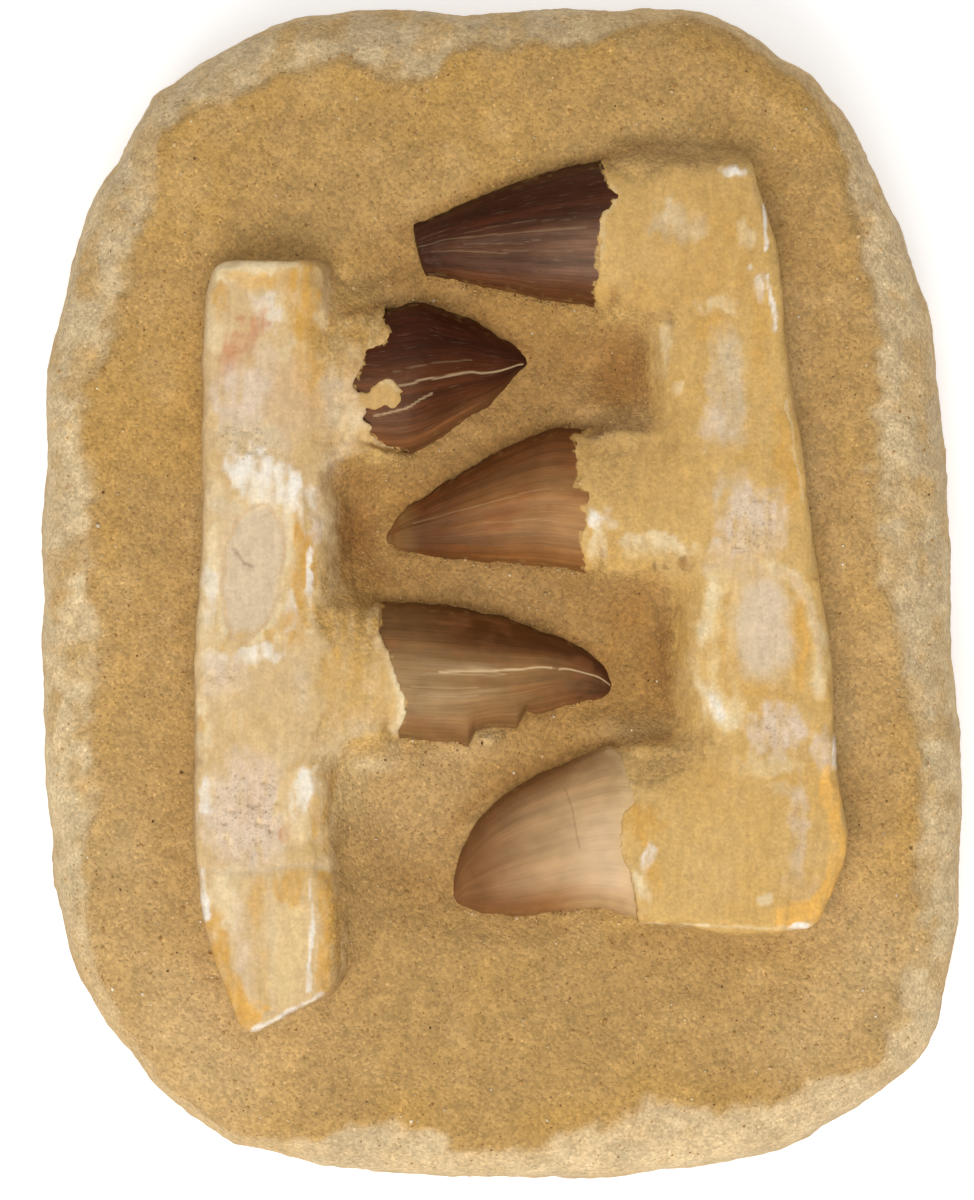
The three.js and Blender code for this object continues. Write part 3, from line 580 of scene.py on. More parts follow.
# Lines on the bones, in spots: the points, width, pigment, strength, softness, lift in mm.
LEFT_LINES = [
    ([(200, 868), (245, 872), (290, 866), (330, 868)], 6, "grey", 0.45, 0.8, -0.16),
    ([(210, 918), (219, 962), (234, 1002), (248, 1022)], 24, "gold", 0.92, 0.45, 0),
    ([(203, 872), (204, 890), (207, 918)], 6, "white", 0.95, 0.35, 0.1),
    ([(311, 880), (312, 930), (308, 990)], 4, "white", 0.85, 0.4, 0.1),
    ([(324, 878), (326, 930), (324, 990)], 13, "gold", 0.9, 0.4, 0),
    ([(254, 1030), (285, 1014), (322, 994)], 6, "white", 0.8, 0.5, 0),
    ([(234, 548), (244, 562), (252, 566)], 3.4, "dark", 0.34, 0.6, -0.2),
    ([(266, 503), (280, 520), (284, 548), (281, 585), (268, 620), (250, 640), (236, 640), (225, 618), (221, 585), (226, 548), (240, 517), (254, 504), (266, 503)], 3.4, "clay", 0.75, 0.6, -0.12),
    ([(394, 672), (401, 696), (402, 712), (394, 730)], 8, "cream", 0.95, 0.35, 0.2),
    ([(216, 270), (240, 266), (300, 266)], 6, "cream", 0.5, 0.6, 0),
    # dark line along the top end of the bone: partly a brown line on the bone and partly painted shadow on the end that
    # faces away from the key light
    ([(232, 259), (258, 258), (291, 259)], 2.4, "dark", 0.4, 0.6, 0),
]
RIGHT_LINES = [
    ([(763, 205), (766, 250)], 3.6, "white", 0.9, 0.4, 0.1), ([(768, 276), (772, 300), (776, 328)], 5, "white", 0.9, 0.4, 0.1),
    ([(786, 400), (803, 500)], 3, "cream", 0.6, 0.5, 0),
    ([(722, 578), (710, 606), (705, 640), (707, 682), (716, 706), (728, 722)], 24, "butter", 0.9, 0.8, 0.15),
    ([(714, 586), (705, 616), (703, 640)], 12, "cream", 0.85, 0.8, 0.05), ([(706, 688), (716, 710), (729, 722)], 15, "cream", 0.9, 0.8, 0.1), ([(712, 700), (720, 716)], 8, "white", 0.8, 0.8, 0.05),
    ([(702, 650), (707, 685)], 8, "gold", 0.5, 0.8, 0),
    ([(740, 584), (731, 615), (728, 655), (733, 688), (743, 704)], 9, "butter", 0.5, 0.9, 0.05),
    ([(772, 566), (793, 576), (809, 604), (818, 640), (819, 690)], 12, "cream", 0.75, 0.9, 0.08), ([(776, 568), (799, 584), (814, 620), (820, 660)], 3.4, "stain", 0.4, 0.8, 0),
    ([(800, 600), (806, 640), (800, 690)], 4, "orange", 0.4, 0.8, 0),
    ([(835, 735), (834, 770)], 4, "white", 0.8, 0.4, 0.1),
    ([(826, 776), (836, 815), (838, 850), (828, 890), (815, 924)], 17, "orange", 0.92, 0.4, 0),
    # faint darker sand line in a shallow groove across the bone: painted shade
    ([(690, 742), (760, 752), (832, 762)], 4, "sand_shaded", 0.12, 0.8, -0.08),
    ([(636, 923), (670, 925), (708, 925)], 3.4, "cream", 0.7, 0.5, 0.1),
    ([(706, 926), (790, 927)], 3, "cream", 0.5, 0.5, 0),
]
# Spongy places: u, v, half width, half height, strength.
LEFT_PORES = [(245, 442, 46, 22, 0.9), (226, 676, 24, 20, 0.7), (246, 812, 42, 58, 1.0), (340, 415, 18, 40, 0.6), (303, 690, 12, 28, 0.5), (238, 400, 28, 22, 0.3), (366, 730, 14, 10, 0.7)]
RIGHT_PORES = [(755, 526, 33, 42, 1.0), (778, 730, 28, 24, 0.9), (726, 386, 16, 56, 0.45), (799, 826, 9, 48, 0.4), (765, 620, 20, 44, 0.3), (640, 540, 40, 10, 0.3)]
CHIP = [(387, 389, 15, 9), (375, 400, 15, 9), (392, 398, 9, 9)]  # gap in the enamel of tooth_2, filled with pale root


def chip(u, v):
    d = np.full(np.shape(u), 9.0)
    for cu, cv, ru, rv in CHIP:
        d = np.minimum(d, (np.hypot((u - cu) / ru, (v - cv) / rv) - 1) * 2.0)
    return d + 0.55 * noise(u, v, 0, 8, 73) + 0.3 * noise(u, v, 0, 3.5, 74)



def warped(u, v, seed):
    du = 4.5 * noise(u, v, 0, 24, seed) + 2.2 * noise(u, v, 0, 8, seed + 1)
    dv = 4.5 * noise(u, v, 0, 24, seed + 2) + 2.2 * noise(u, v, 0, 8, seed + 3)
    return u + du, v + dv


def mark_mask(u, v, m, broken=0.0):
    u0, v0, ru, rv, turn, _, strength, soft, _ = m
    c, s = math.cos(math.radians(turn)), math.sin(math.radians(turn))
    a, b = (u - u0) * c + (v - v0) * s, -(u - u0) * s + (v - v0) * c
    r = np.hypot(a / ru, b / rv)
    return strength * (1 - ramp(r + broken * min(1.15, 36 / (ru + rv)), 1 - soft, 1 + soft))


def line_mask(u, v, line, broken=0.0):
    pts, width, _, strength, soft, _ = line
    best = np.full(np.shape(u), 1e9)
    for (ax, ay), (bx, by) in zip(pts, pts[1:]):
        t = np.clip(((u - ax) * (bx - ax) + (v - ay) * (by - ay)) / ((bx - ax) ** 2 + (by - ay) ** 2), 0, 1)
        best = np.minimum(best, np.hypot(u - ax - t * (bx - ax), v - ay - t * (by - ay)))
    return strength * (1 - ramp(best / (width / 2) + broken, 1 - soft, 1 + soft))


def pore_mask(u, v, pores):
    m = np.zeros(np.shape(u))
    for u0, v0, ru, rv, strength in pores:
        m = np.maximum(m, strength * (1 - ramp(np.hypot((u - u0) / ru, (v - v0) / rv), 0.55, 1.15)))
    return m


# ------------------------------------------------------------------- jaw pieces
def jaw_field(jaw, marks, lines, pores, h):
    teeth = {n: t for n, t in TEETH.items() if t["jaw"] is jaw}
    side = jaw["side"]
    low = np.array([-59.5 if side < 0 else 11.0, -83.0 if side < 0 else -64.5, 22.6])
    high = np.array([-13.5 if side < 0 else 66.0, 64.0 if side < 0 else 83.5, 42.6])
    n = np.ceil((high - low) / h).astype(int) + 1
    x = (low[0] + h * np.arange(n[0]))[:, None]
    y = (low[1] + h * np.arange(n[1]))[None, :]
    z = (low[2] + h * np.arange(n[2]))[None, None, :]
    X, Y = np.broadcast_arrays(x, y)
    # relief of the worn top from the marks and lines
    u, v = seen(X, Y, jaw["top"])
    wu, wv = warped(u, v, 100)
    lift = np.zeros(X.shape)
    for m in marks:
        if m[8]:
            lift += m[8] * mark_mask(wu, wv, m) / m[6]
    for l in lines:
        if l[5]:
            lift += l[5] * line_mask(wu * 0.3 + u * 0.7, wv * 0.3 + v * 0.7, l) / l[3]
    spongy = pore_mask(wu, wv, pores)
    lift += 0.3 * fbm(X, Y, 0, 13, 2, 61) + 0.1 * fbm(X, Y * 0.5, 0, 3, 2, 63)
    to_inner, to_outer, past = strip_plan(jaw, X, Y)
    mid = (to_outer - to_inner) / np.maximum(-(to_outer + to_inner), 1.0)
    top = jaw["top"] + lift + 0.45 * (1 - np.clip(mid, -1, 1) ** 2) - 0.3
    depth = np.clip(jaw["top"] - z, 0, 14) / 14
    wall = smax(to_outer[:, :, None] - 1.1 * depth, past[:, :, None] - 1.0 * depth, jaw["corner"])
    d = smax(wall, z - top[:, :, None], 2.0)
    soft = np.interp(Y, *np.array(jaw["drift"]).T)
    soft = soft * (0.35 if side < 0 else 0.55)
    d = smax(d, (to_inner[:, :, None] - mix(3.0, 8.5, soft)[:, :, None] * depth**1.1) * 0.9, mix(2.6, 7.0, soft)[:, :, None])
    wall = np.maximum(wall, to_inner[:, :, None])
    # worn and chipped top edges
    edge = np.exp(-((wall / 1.6) ** 2)) * np.exp(-(((z - top[:, :, None]) / 1.8) ** 2))
    d += edge * 0.8 * ramp(noise(X, Y, 0, 4.2, 65), 0.05, 0.7)[:, :, None]
    fronts = []
    for name, t in teeth.items():
        tau, across, length = root_local(t, X, Y)
        lap = lap_line(name, X, Y)
        eu, ev = seen(X, Y, 38.0)
        if name == "tooth_2":
            lap = np.minimum(lap, chip(eu, ev))
        mid_c, half_c, _, _, s_c, run_c = AXES[name]
        start = np.argmin(np.hypot(*(mid_c - (t["upper_base"] + t["lower_base"]) / 2).T))
        half_crown = np.interp(np.clip(tau, 0, 40), (s_c[start:] - s_c[start]) * run_c, half_c[start:])
        back = ramp(-tau / length, 0.0, 1.0)
        half = np.where(tau > 0, half_crown, mix(t["half"], t["root_half"], back)) + t["lip"]
        tall = np.where(tau > 0, half_crown * FLATTEN, mix(t["half"] * FLATTEN, jaw["top"] - t["z"] - 0.9, back)) + t["lip"]
        w = z - t["z"] - 0.2 * back[:, :, None] - (lift * 0.8)[:, :, None]
        p = mix(2.15, 2.7, ramp(-tau, 0, 9))
        if "sill" in t:
            lower = ramp(-across * side, 3.0, 9.0) * ramp(-tau, -4.0, 1.0)
            half, p = mix(half, t["sill"], lower), mix(p, 6.0, lower)
        p = p[:, :, None]
        q = ((np.abs(across / half)[:, :, None]) ** p + np.abs(w / tall[:, :, None]) ** p) ** (1 / p)
        r = (q - 1) * tall[:, :, None]
        r = smax(r, smax(lap, -tau - length - 4.0, 0.5)[:, :, None], 0.3)
        d = smin(d, r, 4.2) if name != "tooth_2" else smin(d, r, 3.4)
        fronts.append((lap, (np.abs(across) < t["half"] * 1.1) & (tau > -12), (np.abs(across) < t["half"] + 8) & (tau > -12)))
    # the foot of the inner walls and of the roots runs out into the sand
    bare = d.astype(np.float32)
    plan, face = bank_plan(jaw, X, Y)
    face = ramp(face, 0.15, 0.8)
    ground = sand_level(X, Y) - 3.5 * ramp(-plan, 0.5, 4.0)
    skirt = smax(z - ground[:, :, None] + 0.35, d - 4.0, 0.5)
    for lap, _, near in fronts:
        skirt = np.where(near[:, :, None], smax(skirt, lap[:, :, None] + 0.3, 0.4), skirt)
        face = face * np.where(near, ramp(-lap, 0.5, 6.0), 1.0)
    d = smin(d, skirt, mix(0.3, 4.2, face)[:, :, None])
    # keep clear of the enamel in front of the lapped edge
    for lap, near, _ in fronts:
        d = np.where(near[:, :, None] & (z > 25), smax(d, lap[:, :, None] - 0.2, 0.25), d)
    d = smax(d, 23.1 - z, 0.4)
    # grain of the bone, pits of the spongy places
    band = np.nonzero(np.abs(d) < 1.6)
    bx, by, bz = low[0] + h * band[0], low[1] + h * band[1], low[2] + h * band[2]
    rough = 0.13 * fbm(bx, by * 0.6, bz, 2.6, 2, 81) + 0.05 * noise(bx, by, bz, 0.95, 83)
    sp = spongy[band[0], band[1]]
    rough += sp * 0.55 * ramp(noise(bx, by, bz * 0.5, 1.25, 85), 0.3, 0.75)
    d[band] += rough
    return low, d, bare


def sampled(grid, low, h, co):
    """Values of a gridded field at the given places."""
    g = (co - low) / h
    i = np.clip(np.floor(g).astype(int), 0, np.array(grid.shape) - 2)
    f = g - i
    total = 0.0
    for a in (0, 1):
        for b in (0, 1):
            for c in (0, 1):
                w = np.abs(1 - a - f[:, 0]) * np.abs(1 - b - f[:, 1]) * np.abs(1 - c - f[:, 2])
                total = total + w * grid[i[:, 0] + a, i[:, 1] + b, i[:, 2] + c]
    return total


def jaw_piece(name, jaw, base, marks, lines, pores, h):
    low, d, bare = jaw_field(jaw, marks, lines, pores, h)
    co, quads = surface_net(d.astype(np.float64), low, h)
    nrm = vertex_normals(co, quads)
    soft = nrm.copy()
    for _ in range(10):
        f = soft[quads].mean(1)
        soft = np.zeros_like(soft)
        for k in range(4):
            np.add.at(soft, quads[:, k], f)
        soft /= np.maximum(np.linalg.norm(soft, axis=1, keepdims=True), 1e-9)
    x, y, z = co.T
    u, v = seen(x, y, z)
    wu, wv = warped(u, v, 100)
    col = np.repeat(PIGMENT[base][None], len(co), 0)
    mottled = 0.5 + 0.5 * fbm(x, y, z, 3.4, 3, 91)
    grit = np.full(len(co), 0.25 if jaw is LEFT else 0.35)
    col = mix(col, PIGMENT["ochre" if jaw is LEFT else "gold"], (0.35 * ramp(fbm(x, y, z, 9, 3, 93), 0.0, 0.7))[:, None])
    col = mix(col, PIGMENT["cream" if jaw is LEFT else "tan"], ((0.45 if jaw is LEFT else 0.25) * ramp(fbm(x, y, z, 6, 3, 95), 0.1, 0.8))[:, None])
    broken = 0.36 * fbm(u, v * 0.7, 0, 14, 2, 111) + 0.34 * noise(u, v * 0.6, 0, 5.0, 113)
    streak = fbm(u, v * 0.28, 0, 6.5, 3, 115)
    worn_off = np.clip(0.82 + 0.45 * (mottled - 0.5) + 0.42 * streak, 0, 1)
    faces_up = 0.3 + 0.7 * ramp(soft[:, 2], 0.2, 0.6)
    for m in marks:
        if m[5] == "socket":
            w = mark_mask(wu, wv, m, 0.3 * broken)
        else:
            w = mark_mask(wu, wv, (*m[:7], m[7] * 0.75, m[8]), broken) * worn_off
        if not m[5].startswith("sand"):
            w = w * faces_up
        col = mix(col, PIGMENT[m[5]], w[:, None])
        if m[5].startswith("sand"):
            grit = mix(grit, 1.0, w)
        elif m[5] in ("white", "cream", "socket", "lilac"):
            grit = mix(grit, 0.15, w)
    for l in lines:
        w = line_mask(wu * 0.35 + u * 0.65, wv * 0.35 + v * 0.65, l, broken) * np.clip(0.85 + 0.6 * (mottled - 0.5) + 0.4 * streak, 0, 1)
        col = mix(col, PIGMENT[l[2]], w[:, None])
    pore = pore_mask(wu, wv, pores)
    if jaw is LEFT:
        w = 1 - ramp(chip(u, v), 0.0, 0.5)
        col = mix(col, PIGMENT["honey"], (0.8 * w)[:, None])
    # sand clings to the foot of the walls, most of all on the inner side
    to_inner, to_outer, past = strip_plan(jaw, x, y)
    inner_side = ramp(-to_outer, 5, 9)
    over = z - sand_level(x, y) + 0.5 * noise(x, y, z, 2.4, 98) + 0.35 * noise(x, y, z, 0.9, 99)
    clings = (1 - ramp(over, 0.1, 2.2)) * mix(0.35, 1.0, inner_side) * (1 - 0.8 * ramp(soft[:, 2], 0.75, 0.95))
    clings = np.maximum(clings, 0.6 * (1 - ramp(soft[:, 2], 0.2, 0.6)) * inner_side)
    filled = sampled(bare, low, h, co) + 0.3 * noise(x, y, z, 2.0, 96) + 0.15 * noise(x, y, z, 0.8, 97)
    clings = np.maximum(clings, ramp(filled, 0.2, 1.1) * (1 - 0.9 * ramp(z, 36.2, 38.0)))
    # the sand's tint here carries its painted shade in the hollows
    sandy = slab_tint(x, y, np.zeros(len(x)), np.full(len(x), 40.0), z)
    col = mix(col, sandy, clings[:, None])
    grit = mix(grit, 1.0, clings)
    pore = pore * (1 - clings)
    # pale wear on the sharp upper edges
    bend = np.linalg.norm(nrm - soft, axis=1)
    worn = ramp(bend, 0.18, 0.5) * (1 - clings) * ramp(z, 37, 39.5) * ramp(noise(x, y, z, 3, 77), -0.3, 0.4)
    col = mix(col, PIGMENT["cream"], (0.55 * worn)[:, None])
    # charts: top, four sides, underside
    fn = soft[quads].mean(1)
    fn[:, 2] *= 1.25
    chart = np.argmax(np.stack([fn[:, 2], fn[:, 0], -fn[:, 0], fn[:, 1], -fn[:, 1], -fn[:, 2] * 1.2], 1), 1)
    p = co[quads]
    lo, hi = co.min(0), co.max(0)
    wide, deep = hi[0] - lo[0], hi[1] - lo[1]
    uv = np.zeros((len(quads), 4, 2))
    k = 0.42
    cursor = 0.0
    px, py, pz = p[..., 0] - lo[0], p[..., 1] - lo[1], p[..., 2] - lo[2]
    for c in range(6):
        if c == 0:
            cu, cv, w = px, py, wide
        elif c in (1, 2):
            cu, cv = (pz + 1.15 * px) * k, py
            w = (hi[2] - lo[2] + 1.15 * wide) * k
        elif c in (3, 4):
            cu, cv = px * k, (pz + 0.62 * py) * deep / (hi[2] - lo[2] + 0.62 * deep)
            w = wide * k
        else:
            cu, cv, w = px * 0.2, py, wide * 0.2
        here = chart == c
        uv[here, :, 0] = cursor + 0.8 + cu[here]
        uv[here, :, 1] = cv[here] + 0.8
        cursor += w + 1.6
    uv[..., 0] /= cursor
    uv[..., 1] /= deep + 1.6
    ob = piece(name + "_bone", co, [quads], {"tint": np.clip(col, 0, 1), "grit": np.clip(grit, 0, 1), "pore": np.clip(pore, 0, 1)}, uv.reshape(-1, 2))
    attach(ob, "root")
    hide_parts(name)
    return ob


# ----------------------------------------------------------------- crown pieces
ENAMEL = {
    # body, upper edge, lower edge, tip, base (paler, below the middle line near the base, partly the enamel's colour
    # and partly painted sheen); between which shares across the upper tone comes in; where the tip tone begins;
    # strength of the streaks
    "tooth_1": ((88, 55, 36), (66, 31, 14), (102, 60, 32), (66, 36, 22), (121, 87, 65), (-0.02, 0.35), 0.7, 0.34),
    "tooth_2": ((84, 43, 20), (64, 27, 10), (124, 78, 44), (60, 28, 14), (106, 64, 36), (-0.15, 0.5), 0.7, 0.4),
    "tooth_3": ((147, 101, 56), (104, 57, 25), (147, 94, 48), (100, 58, 28), (164, 118, 70), (0.0, 0.9), 0.42, 0.26),
    "tooth_4": ((147, 108, 65), (96, 55, 20), (138, 98, 58), (82, 48, 28), (160, 125, 82), (0.06, 0.58), 0.62, 0.24),
    "tooth_5": ((194, 156, 110), (150, 104, 62), (160, 109, 62), (129, 85, 49), (220, 185, 145), (0.45, 1.0), 0.42, 0.13),
}
# Cracks in the enamel: places (share of length, share across) and width in mm, depth in mm, how pale the filling is.
CRACKS = {
    "tooth_1": [([(0.25, 0.05), (0.55, 0.04), (1, 0.12)], 0.2, 0.05, 0.14), ([(0.6, -0.3), (0.95, -0.22)], 0.16, 0.03, 0.14), ([(0.45, -0.12), (0.8, -0.1)], 0.16, 0.03, 0.14), ([(0.3, -0.28), (0.62, -0.24)], 0.16, 0.03, 0.12), ([(0.3, 0.2), (0.8, 0.22)], 0.14, 0.03, 0.1)],
    "tooth_2": [([(0.31, -0.1), (0.5, -0.08), (0.7, -0.1), (0.9, -0.1), (0.96, -0.06)], 0.3, 0.14, 0.6), ([(0.2, -0.47), (0.36, -0.4), (0.5, -0.31)], 0.3, 0.14, 0.5), ([(0.3, 0.1), (0.7, 0.16)], 0.18, 0.03, 0.15)],
    "tooth_3": [([(0.28, 0.12), (0.6, 0.1), (0.9, 0.15)], 0.22, 0.04, 0.15), ([(0.3, -0.35), (0.6, -0.28)], 0.2, 0.03, 0.15)],
    "tooth_4": [([(0.36, 0.02), (0.47, 0.06), (0.6, 0.08), (0.7, 0.11), (0.77, 0.11), (0.8, 0.07), (0.92, 0.1), (1.0, 0.2)], 0.29, 0.18, 0.75), ([(0.3, -0.02), (0.45, 0.0), (0.6, 0.0)], 0.24, 0.04, 0.22), ([(0.25, -0.2), (0.5, -0.2)], 0.22, 0.03, 0.2), ([(0.28, -0.34), (0.5, -0.32)], 0.2, 0.03, 0.16)],
    "tooth_5": [([(0.48, 0.66), (0.455, 0.35), (0.44, 0.0), (0.43, -0.16)], 0.24, 0.06, -0.35)],
}
RINGS, AROUND = 180, 200


def crown_piece(name):
    t = TEETH[name]
    mid, half, across, level, s, run = crown_axis(t, RINGS)
    # the seam is underneath, and three quarters of the points are on the upper half
    under = AROUND // 8
    a = np.concatenate([np.linspace(-0.5, 0, under, endpoint=False), np.linspace(0, 1, AROUND - 2 * under, endpoint=False), np.linspace(1, 1.5, under, endpoint=False)]) * np.pi
    c, w = np.cos(a), np.sin(a)
    seed = 200 + 11 * int(name[-1])
    rings = []
    caps = [(0.0, 1.0)] + [(math.sin(k * math.pi / 10), math.cos(k * math.pi / 10)) for k in range(1, 5)]
    stations = [(k, 0.0, 1.0) for k in range(RINGS)] + [(RINGS - 1, f, g) for f, g in caps[1:]]
    tip_dir = mid[-1] - mid[-4]
    tip_dir /= np.hypot(*tip_dir)
    S, U, R = [], [], []
    for k, f, g in stations:
        power = 2.12
        un = np.sign(c) * np.abs(c) ** (2 / power)
        wn = np.sign(w) * np.abs(w) ** (2 / power)
        tall = half[k] * FLATTEN
        lateral = un * half[k] * g
        height = wn * tall * g
        keel = t["keel"] * np.exp(-(((un - 0.05) / 0.1) ** 2)) * (wn > 0) * min(1, half[k] / 8) * (1 - 0.5 * s[k])
        height = height + keel
        at = mid[k] + tip_dir * f * min(half[k], 2.4) * t.get("blunt", 0.55)
        p = np.stack([at[0] + across[k, 0] * lateral, at[1] + across[k, 1] * lateral, level[k] + height], 1)
        if "brim" in t:
            bu, bv = np.array(t["brim"]).T
            lu, lv = seen(*(mid[k] - across[k] * half[k]), level[k])
            if bu[0] < lu < bu[-1]:
                p[:, 1] -= (np.interp(lu, bu, bv) - lv) * 0.187 * ramp(-un, 0.5, 0.97)
        out = np.stack([across[k, 0] * c, across[k, 1] * c, w], 1)
        rings.append((p, out))
        S.append(np.full(AROUND, s[k]))
        U.append(un)
        R.append(np.full(AROUND, half[k]))
    co = np.concatenate([p for p, _ in rings])
    out = np.concatenate([o for _, o in rings])
    out /= np.linalg.norm(out, axis=1, keepdims=True)
    S, U, R = np.concatenate(S), np.concatenate(U), np.concatenate(R)
    ang = np.tile(a, len(stations))
    # lengthwise ridges, slow swellings, broken tip
    ridges = 0.05 * noise(ang * 9.0, S * 3.0, seed, 1.0, seed) + 0.03 * noise(ang * 19.0, S * 5.0, seed, 1.0, seed + 1)
    swell = 0.16 * fbm(co[:, 0], co[:, 1], co[:, 2], 7, 2, seed + 2) + 0.04 * noise(co[:, 0], co[:, 1], co[:, 2], 1.4, seed + 3)
    wear = ramp(S, 0.9, 1.0) * 0.22 * fbm(co[:, 0], co[:, 1], co[:, 2], 1.6, 2, seed + 4)
    moved = ridges * np.clip(R / 6, 0.2, 1) + swell + wear
    # crumbled edges against the sand, and a shoulder that dips under the lapping root
    crumbs = 0.26 * noise(co[:, 0], co[:, 1], 0, 2.7, seed + 9) + 0.16 * noise(co[:, 0], co[:, 1], 0, 1.1, seed + 10)
    moved += crumbs * ramp(np.abs(U), 0.86, 1.0) * ramp(R, 0.5, 3)
    lap = lap_line(name, co[:, 0], co[:, 1])
    if name == "tooth_2":
        eu, ev = seen(co[:, 0], co[:, 1], 38.0)
        moved -= 0.25 * (1 - ramp(chip(eu, ev), -0.6, -0.1))
    moved -= 0.9 * ramp(-lap, 0.15, 2.4) + 1.2 * ramp(-lap, 2.0, 8.0)
    body, upper, lower, tip, base = (colour(*x) for x in ENAMEL[name][:5])
    (dark_from, dark_to), tip_from, streaky = ENAMEL[name][5:]
    streak = noise(ang * 7.5, S * 2.0, 0, 1.0, seed + 5) * 0.6 + noise(ang * 16, S * 3.2, 0, 1.0, seed + 6) * 0.4
    cloud = fbm(co[:, 0], co[:, 1], co[:, 2], 6, 3, seed + 7)
    col = np.repeat(body[None], len(co), 0)
    # the paler base tone below the middle line near the base is partly painted sheen
    col = mix(col, base, (ramp(0.58 - S, 0, 0.34) * ramp(0.45 - U, -0.1, 0.5) * ramp(U + 1.0, 0.1, 0.4) * 0.95)[:, None])
    from_base = {"tooth_4": 0.5 + 0.5 * ramp(S, 0.22, 0.5), "tooth_5": 0.25 + 0.75 * ramp(S, 0.3, 0.55)}.get(name, 0.85 + 0.15 * ramp(S, 0.2, 0.7))
    col = mix(col, upper, (ramp(U + 0.06 * streak, dark_from, dark_to) * from_base)[:, None])
    col = mix(col, lower, (ramp(-U, 0.45, 0.85) * {"tooth_3": 0.5 + 0.5 * ramp(S, 0.25, 0.5), "tooth_4": 0.3 + 0.7 * ramp(S, 0.25, 0.5), "tooth_5": ramp(S, 0.3, 0.6)}.get(name, 1.0))[:, None])
    col = mix(col, tip, (ramp(S, tip_from, min(1.0, tip_from + 0.45)) * 0.92)[:, None])
    col = col * np.exp(streaky * streak + 0.1 * cloud)[:, None]
    if name in ("tooth_3", "tooth_4"):
        red = ramp(fbm(co[:, 0] * 0.6, co[:, 1], co[:, 2], 4.5, 3, seed + 13), 0.0, 0.7)
        col = mix(col, colour(140, 76, 36) if name == "tooth_3" else colour(146, 92, 52), (0.4 * red)[:, None])
    if name == "tooth_4":
        scuffed = ramp(S, 0.24, 0.34) * (1 - ramp(S, 0.5, 0.64)) * (1 - ramp(np.abs(U + 0.05), 0.2, 0.45)) * ramp(streak, -0.1, 0.5)
        col = mix(col, colour(178, 150, 112), (0.45 * scuffed)[:, None])
    # thin dark margin along the upper edge, partly the enamel's own dark edge and partly painted shadow on the side
    # away from the key light; and dust on the edges
    col = mix(col, upper * 0.6, (0.6 * ramp(U, 0.86, 0.99) * from_base)[:, None])
    dusty = ramp(np.abs(U), 0.8, 1.0) * ramp(noise(co[:, 0], co[:, 1], co[:, 2], 1.3, seed + 12), 0.3, 0.7) * 0.3
    if name == "tooth_3":
        dusty = np.maximum(dusty, ramp(S, 0.84, 0.98) * 0.45 * (0.6 + 0.6 * cloud))
    col = mix(col, PIGMENT["sand"] * 0.85, np.clip(dusty, 0, 1)[:, None])
    # crumbs of root left on the enamel beside the lapped edge
    crumb = noise(co[:, 0], co[:, 1], 0, 0.8, seed + 14) * 0.6 + noise(co[:, 0], co[:, 1], 0, 2.0, seed + 15) * 0.5
    if name == "tooth_5":
        col = mix(col, PIGMENT["tan"], (0.6 * (1 - ramp(lap + 0.8 * crumb, 0.0, 3.0)))[:, None])
    else:
        left_on = ramp(crumb - np.maximum(lap, 0) * 0.75, 0.0, 0.25) * ramp(co[:, 2], t["z"] + 1, t["z"] + 3)
        col = mix(col, PIGMENT["ochre"], (0.75 * left_on)[:, None])
    for pts, width, depth, pale in CRACKS[name]:
        best = np.full(len(co), 1e9)
        for (s0, u0), (s1, u1) in zip(pts, pts[1:]):
            ax, ay, bx, by = s0 * run, u0, s1 * run, u1
            sx, sy = S * run, U * R
            by_ = by * R
            ay_ = ay * R
            tt = np.clip((sx - ax) / (bx - ax) if abs(bx - ax) > 2 else (sy - ay_) / np.where(np.abs(by_ - ay_) < 1e-6, 1e-6, by_ - ay_), 0, 1)
            wob = 0.22 * noise(sx, 0, pts[0][1] * 9 + seed, 2.8, seed + 8)
            best = np.minimum(best, np.hypot(sx - mix(ax, bx, tt), sy - mix(ay_, by_, tt) + wob))
        m = (1 - ramp(best, width * 0.25, width * 0.95)) * (co[:, 2] > t["z"] - 0.5)
        moved = moved - depth * m
        fill = colour(226, 196, 150) if pale > 0 else colour(112, 66, 34)
        col = mix(col, fill, (abs(pale) * m)[:, None])
    co = co + out * moved[:, None]
    n = len(stations)
    i = np.arange(AROUND)
    quads = []
    for k in range(n - 1):
        r0, r1 = k * AROUND, (k + 1) * AROUND
        quads.append(np.stack([r0 + i, r0 + (i + 1) % AROUND, r1 + (i + 1) % AROUND, r1 + i], 1))
    quads = np.concatenate(quads)
    end = co[-AROUND:].mean(0)
    start = co[:AROUND].mean(0)
    co = np.vstack([co, end, start])
    fan1 = np.stack([(n - 1) * AROUND + i, (n - 1) * AROUND + (i + 1) % AROUND, np.full(AROUND, len(co) - 2)], 1)
    fan0 = np.stack([(i + 1) % AROUND, i, np.full(AROUND, len(co) - 1)], 1)
    nv = vertex_normals(co, quads)
    if np.sum(nv[: len(out)] * out) < 0:
        quads, fan1, fan0 = quads[:, ::-1], fan1[:, ::-1], fan0[:, ::-1]
    ext = lambda q, e, b: np.concatenate([q, [e, b]])
    # map: round the crown by along it
    vv = np.concatenate([np.arange(n) / (n - 1) * 0.97 + 0.02]).repeat(AROUND)
    uu = np.tile((a - a[0]) / (2 * np.pi), n)
    uu, vv = ext(uu, 0.5, 0.5), ext(vv, 0.995, 0.005)

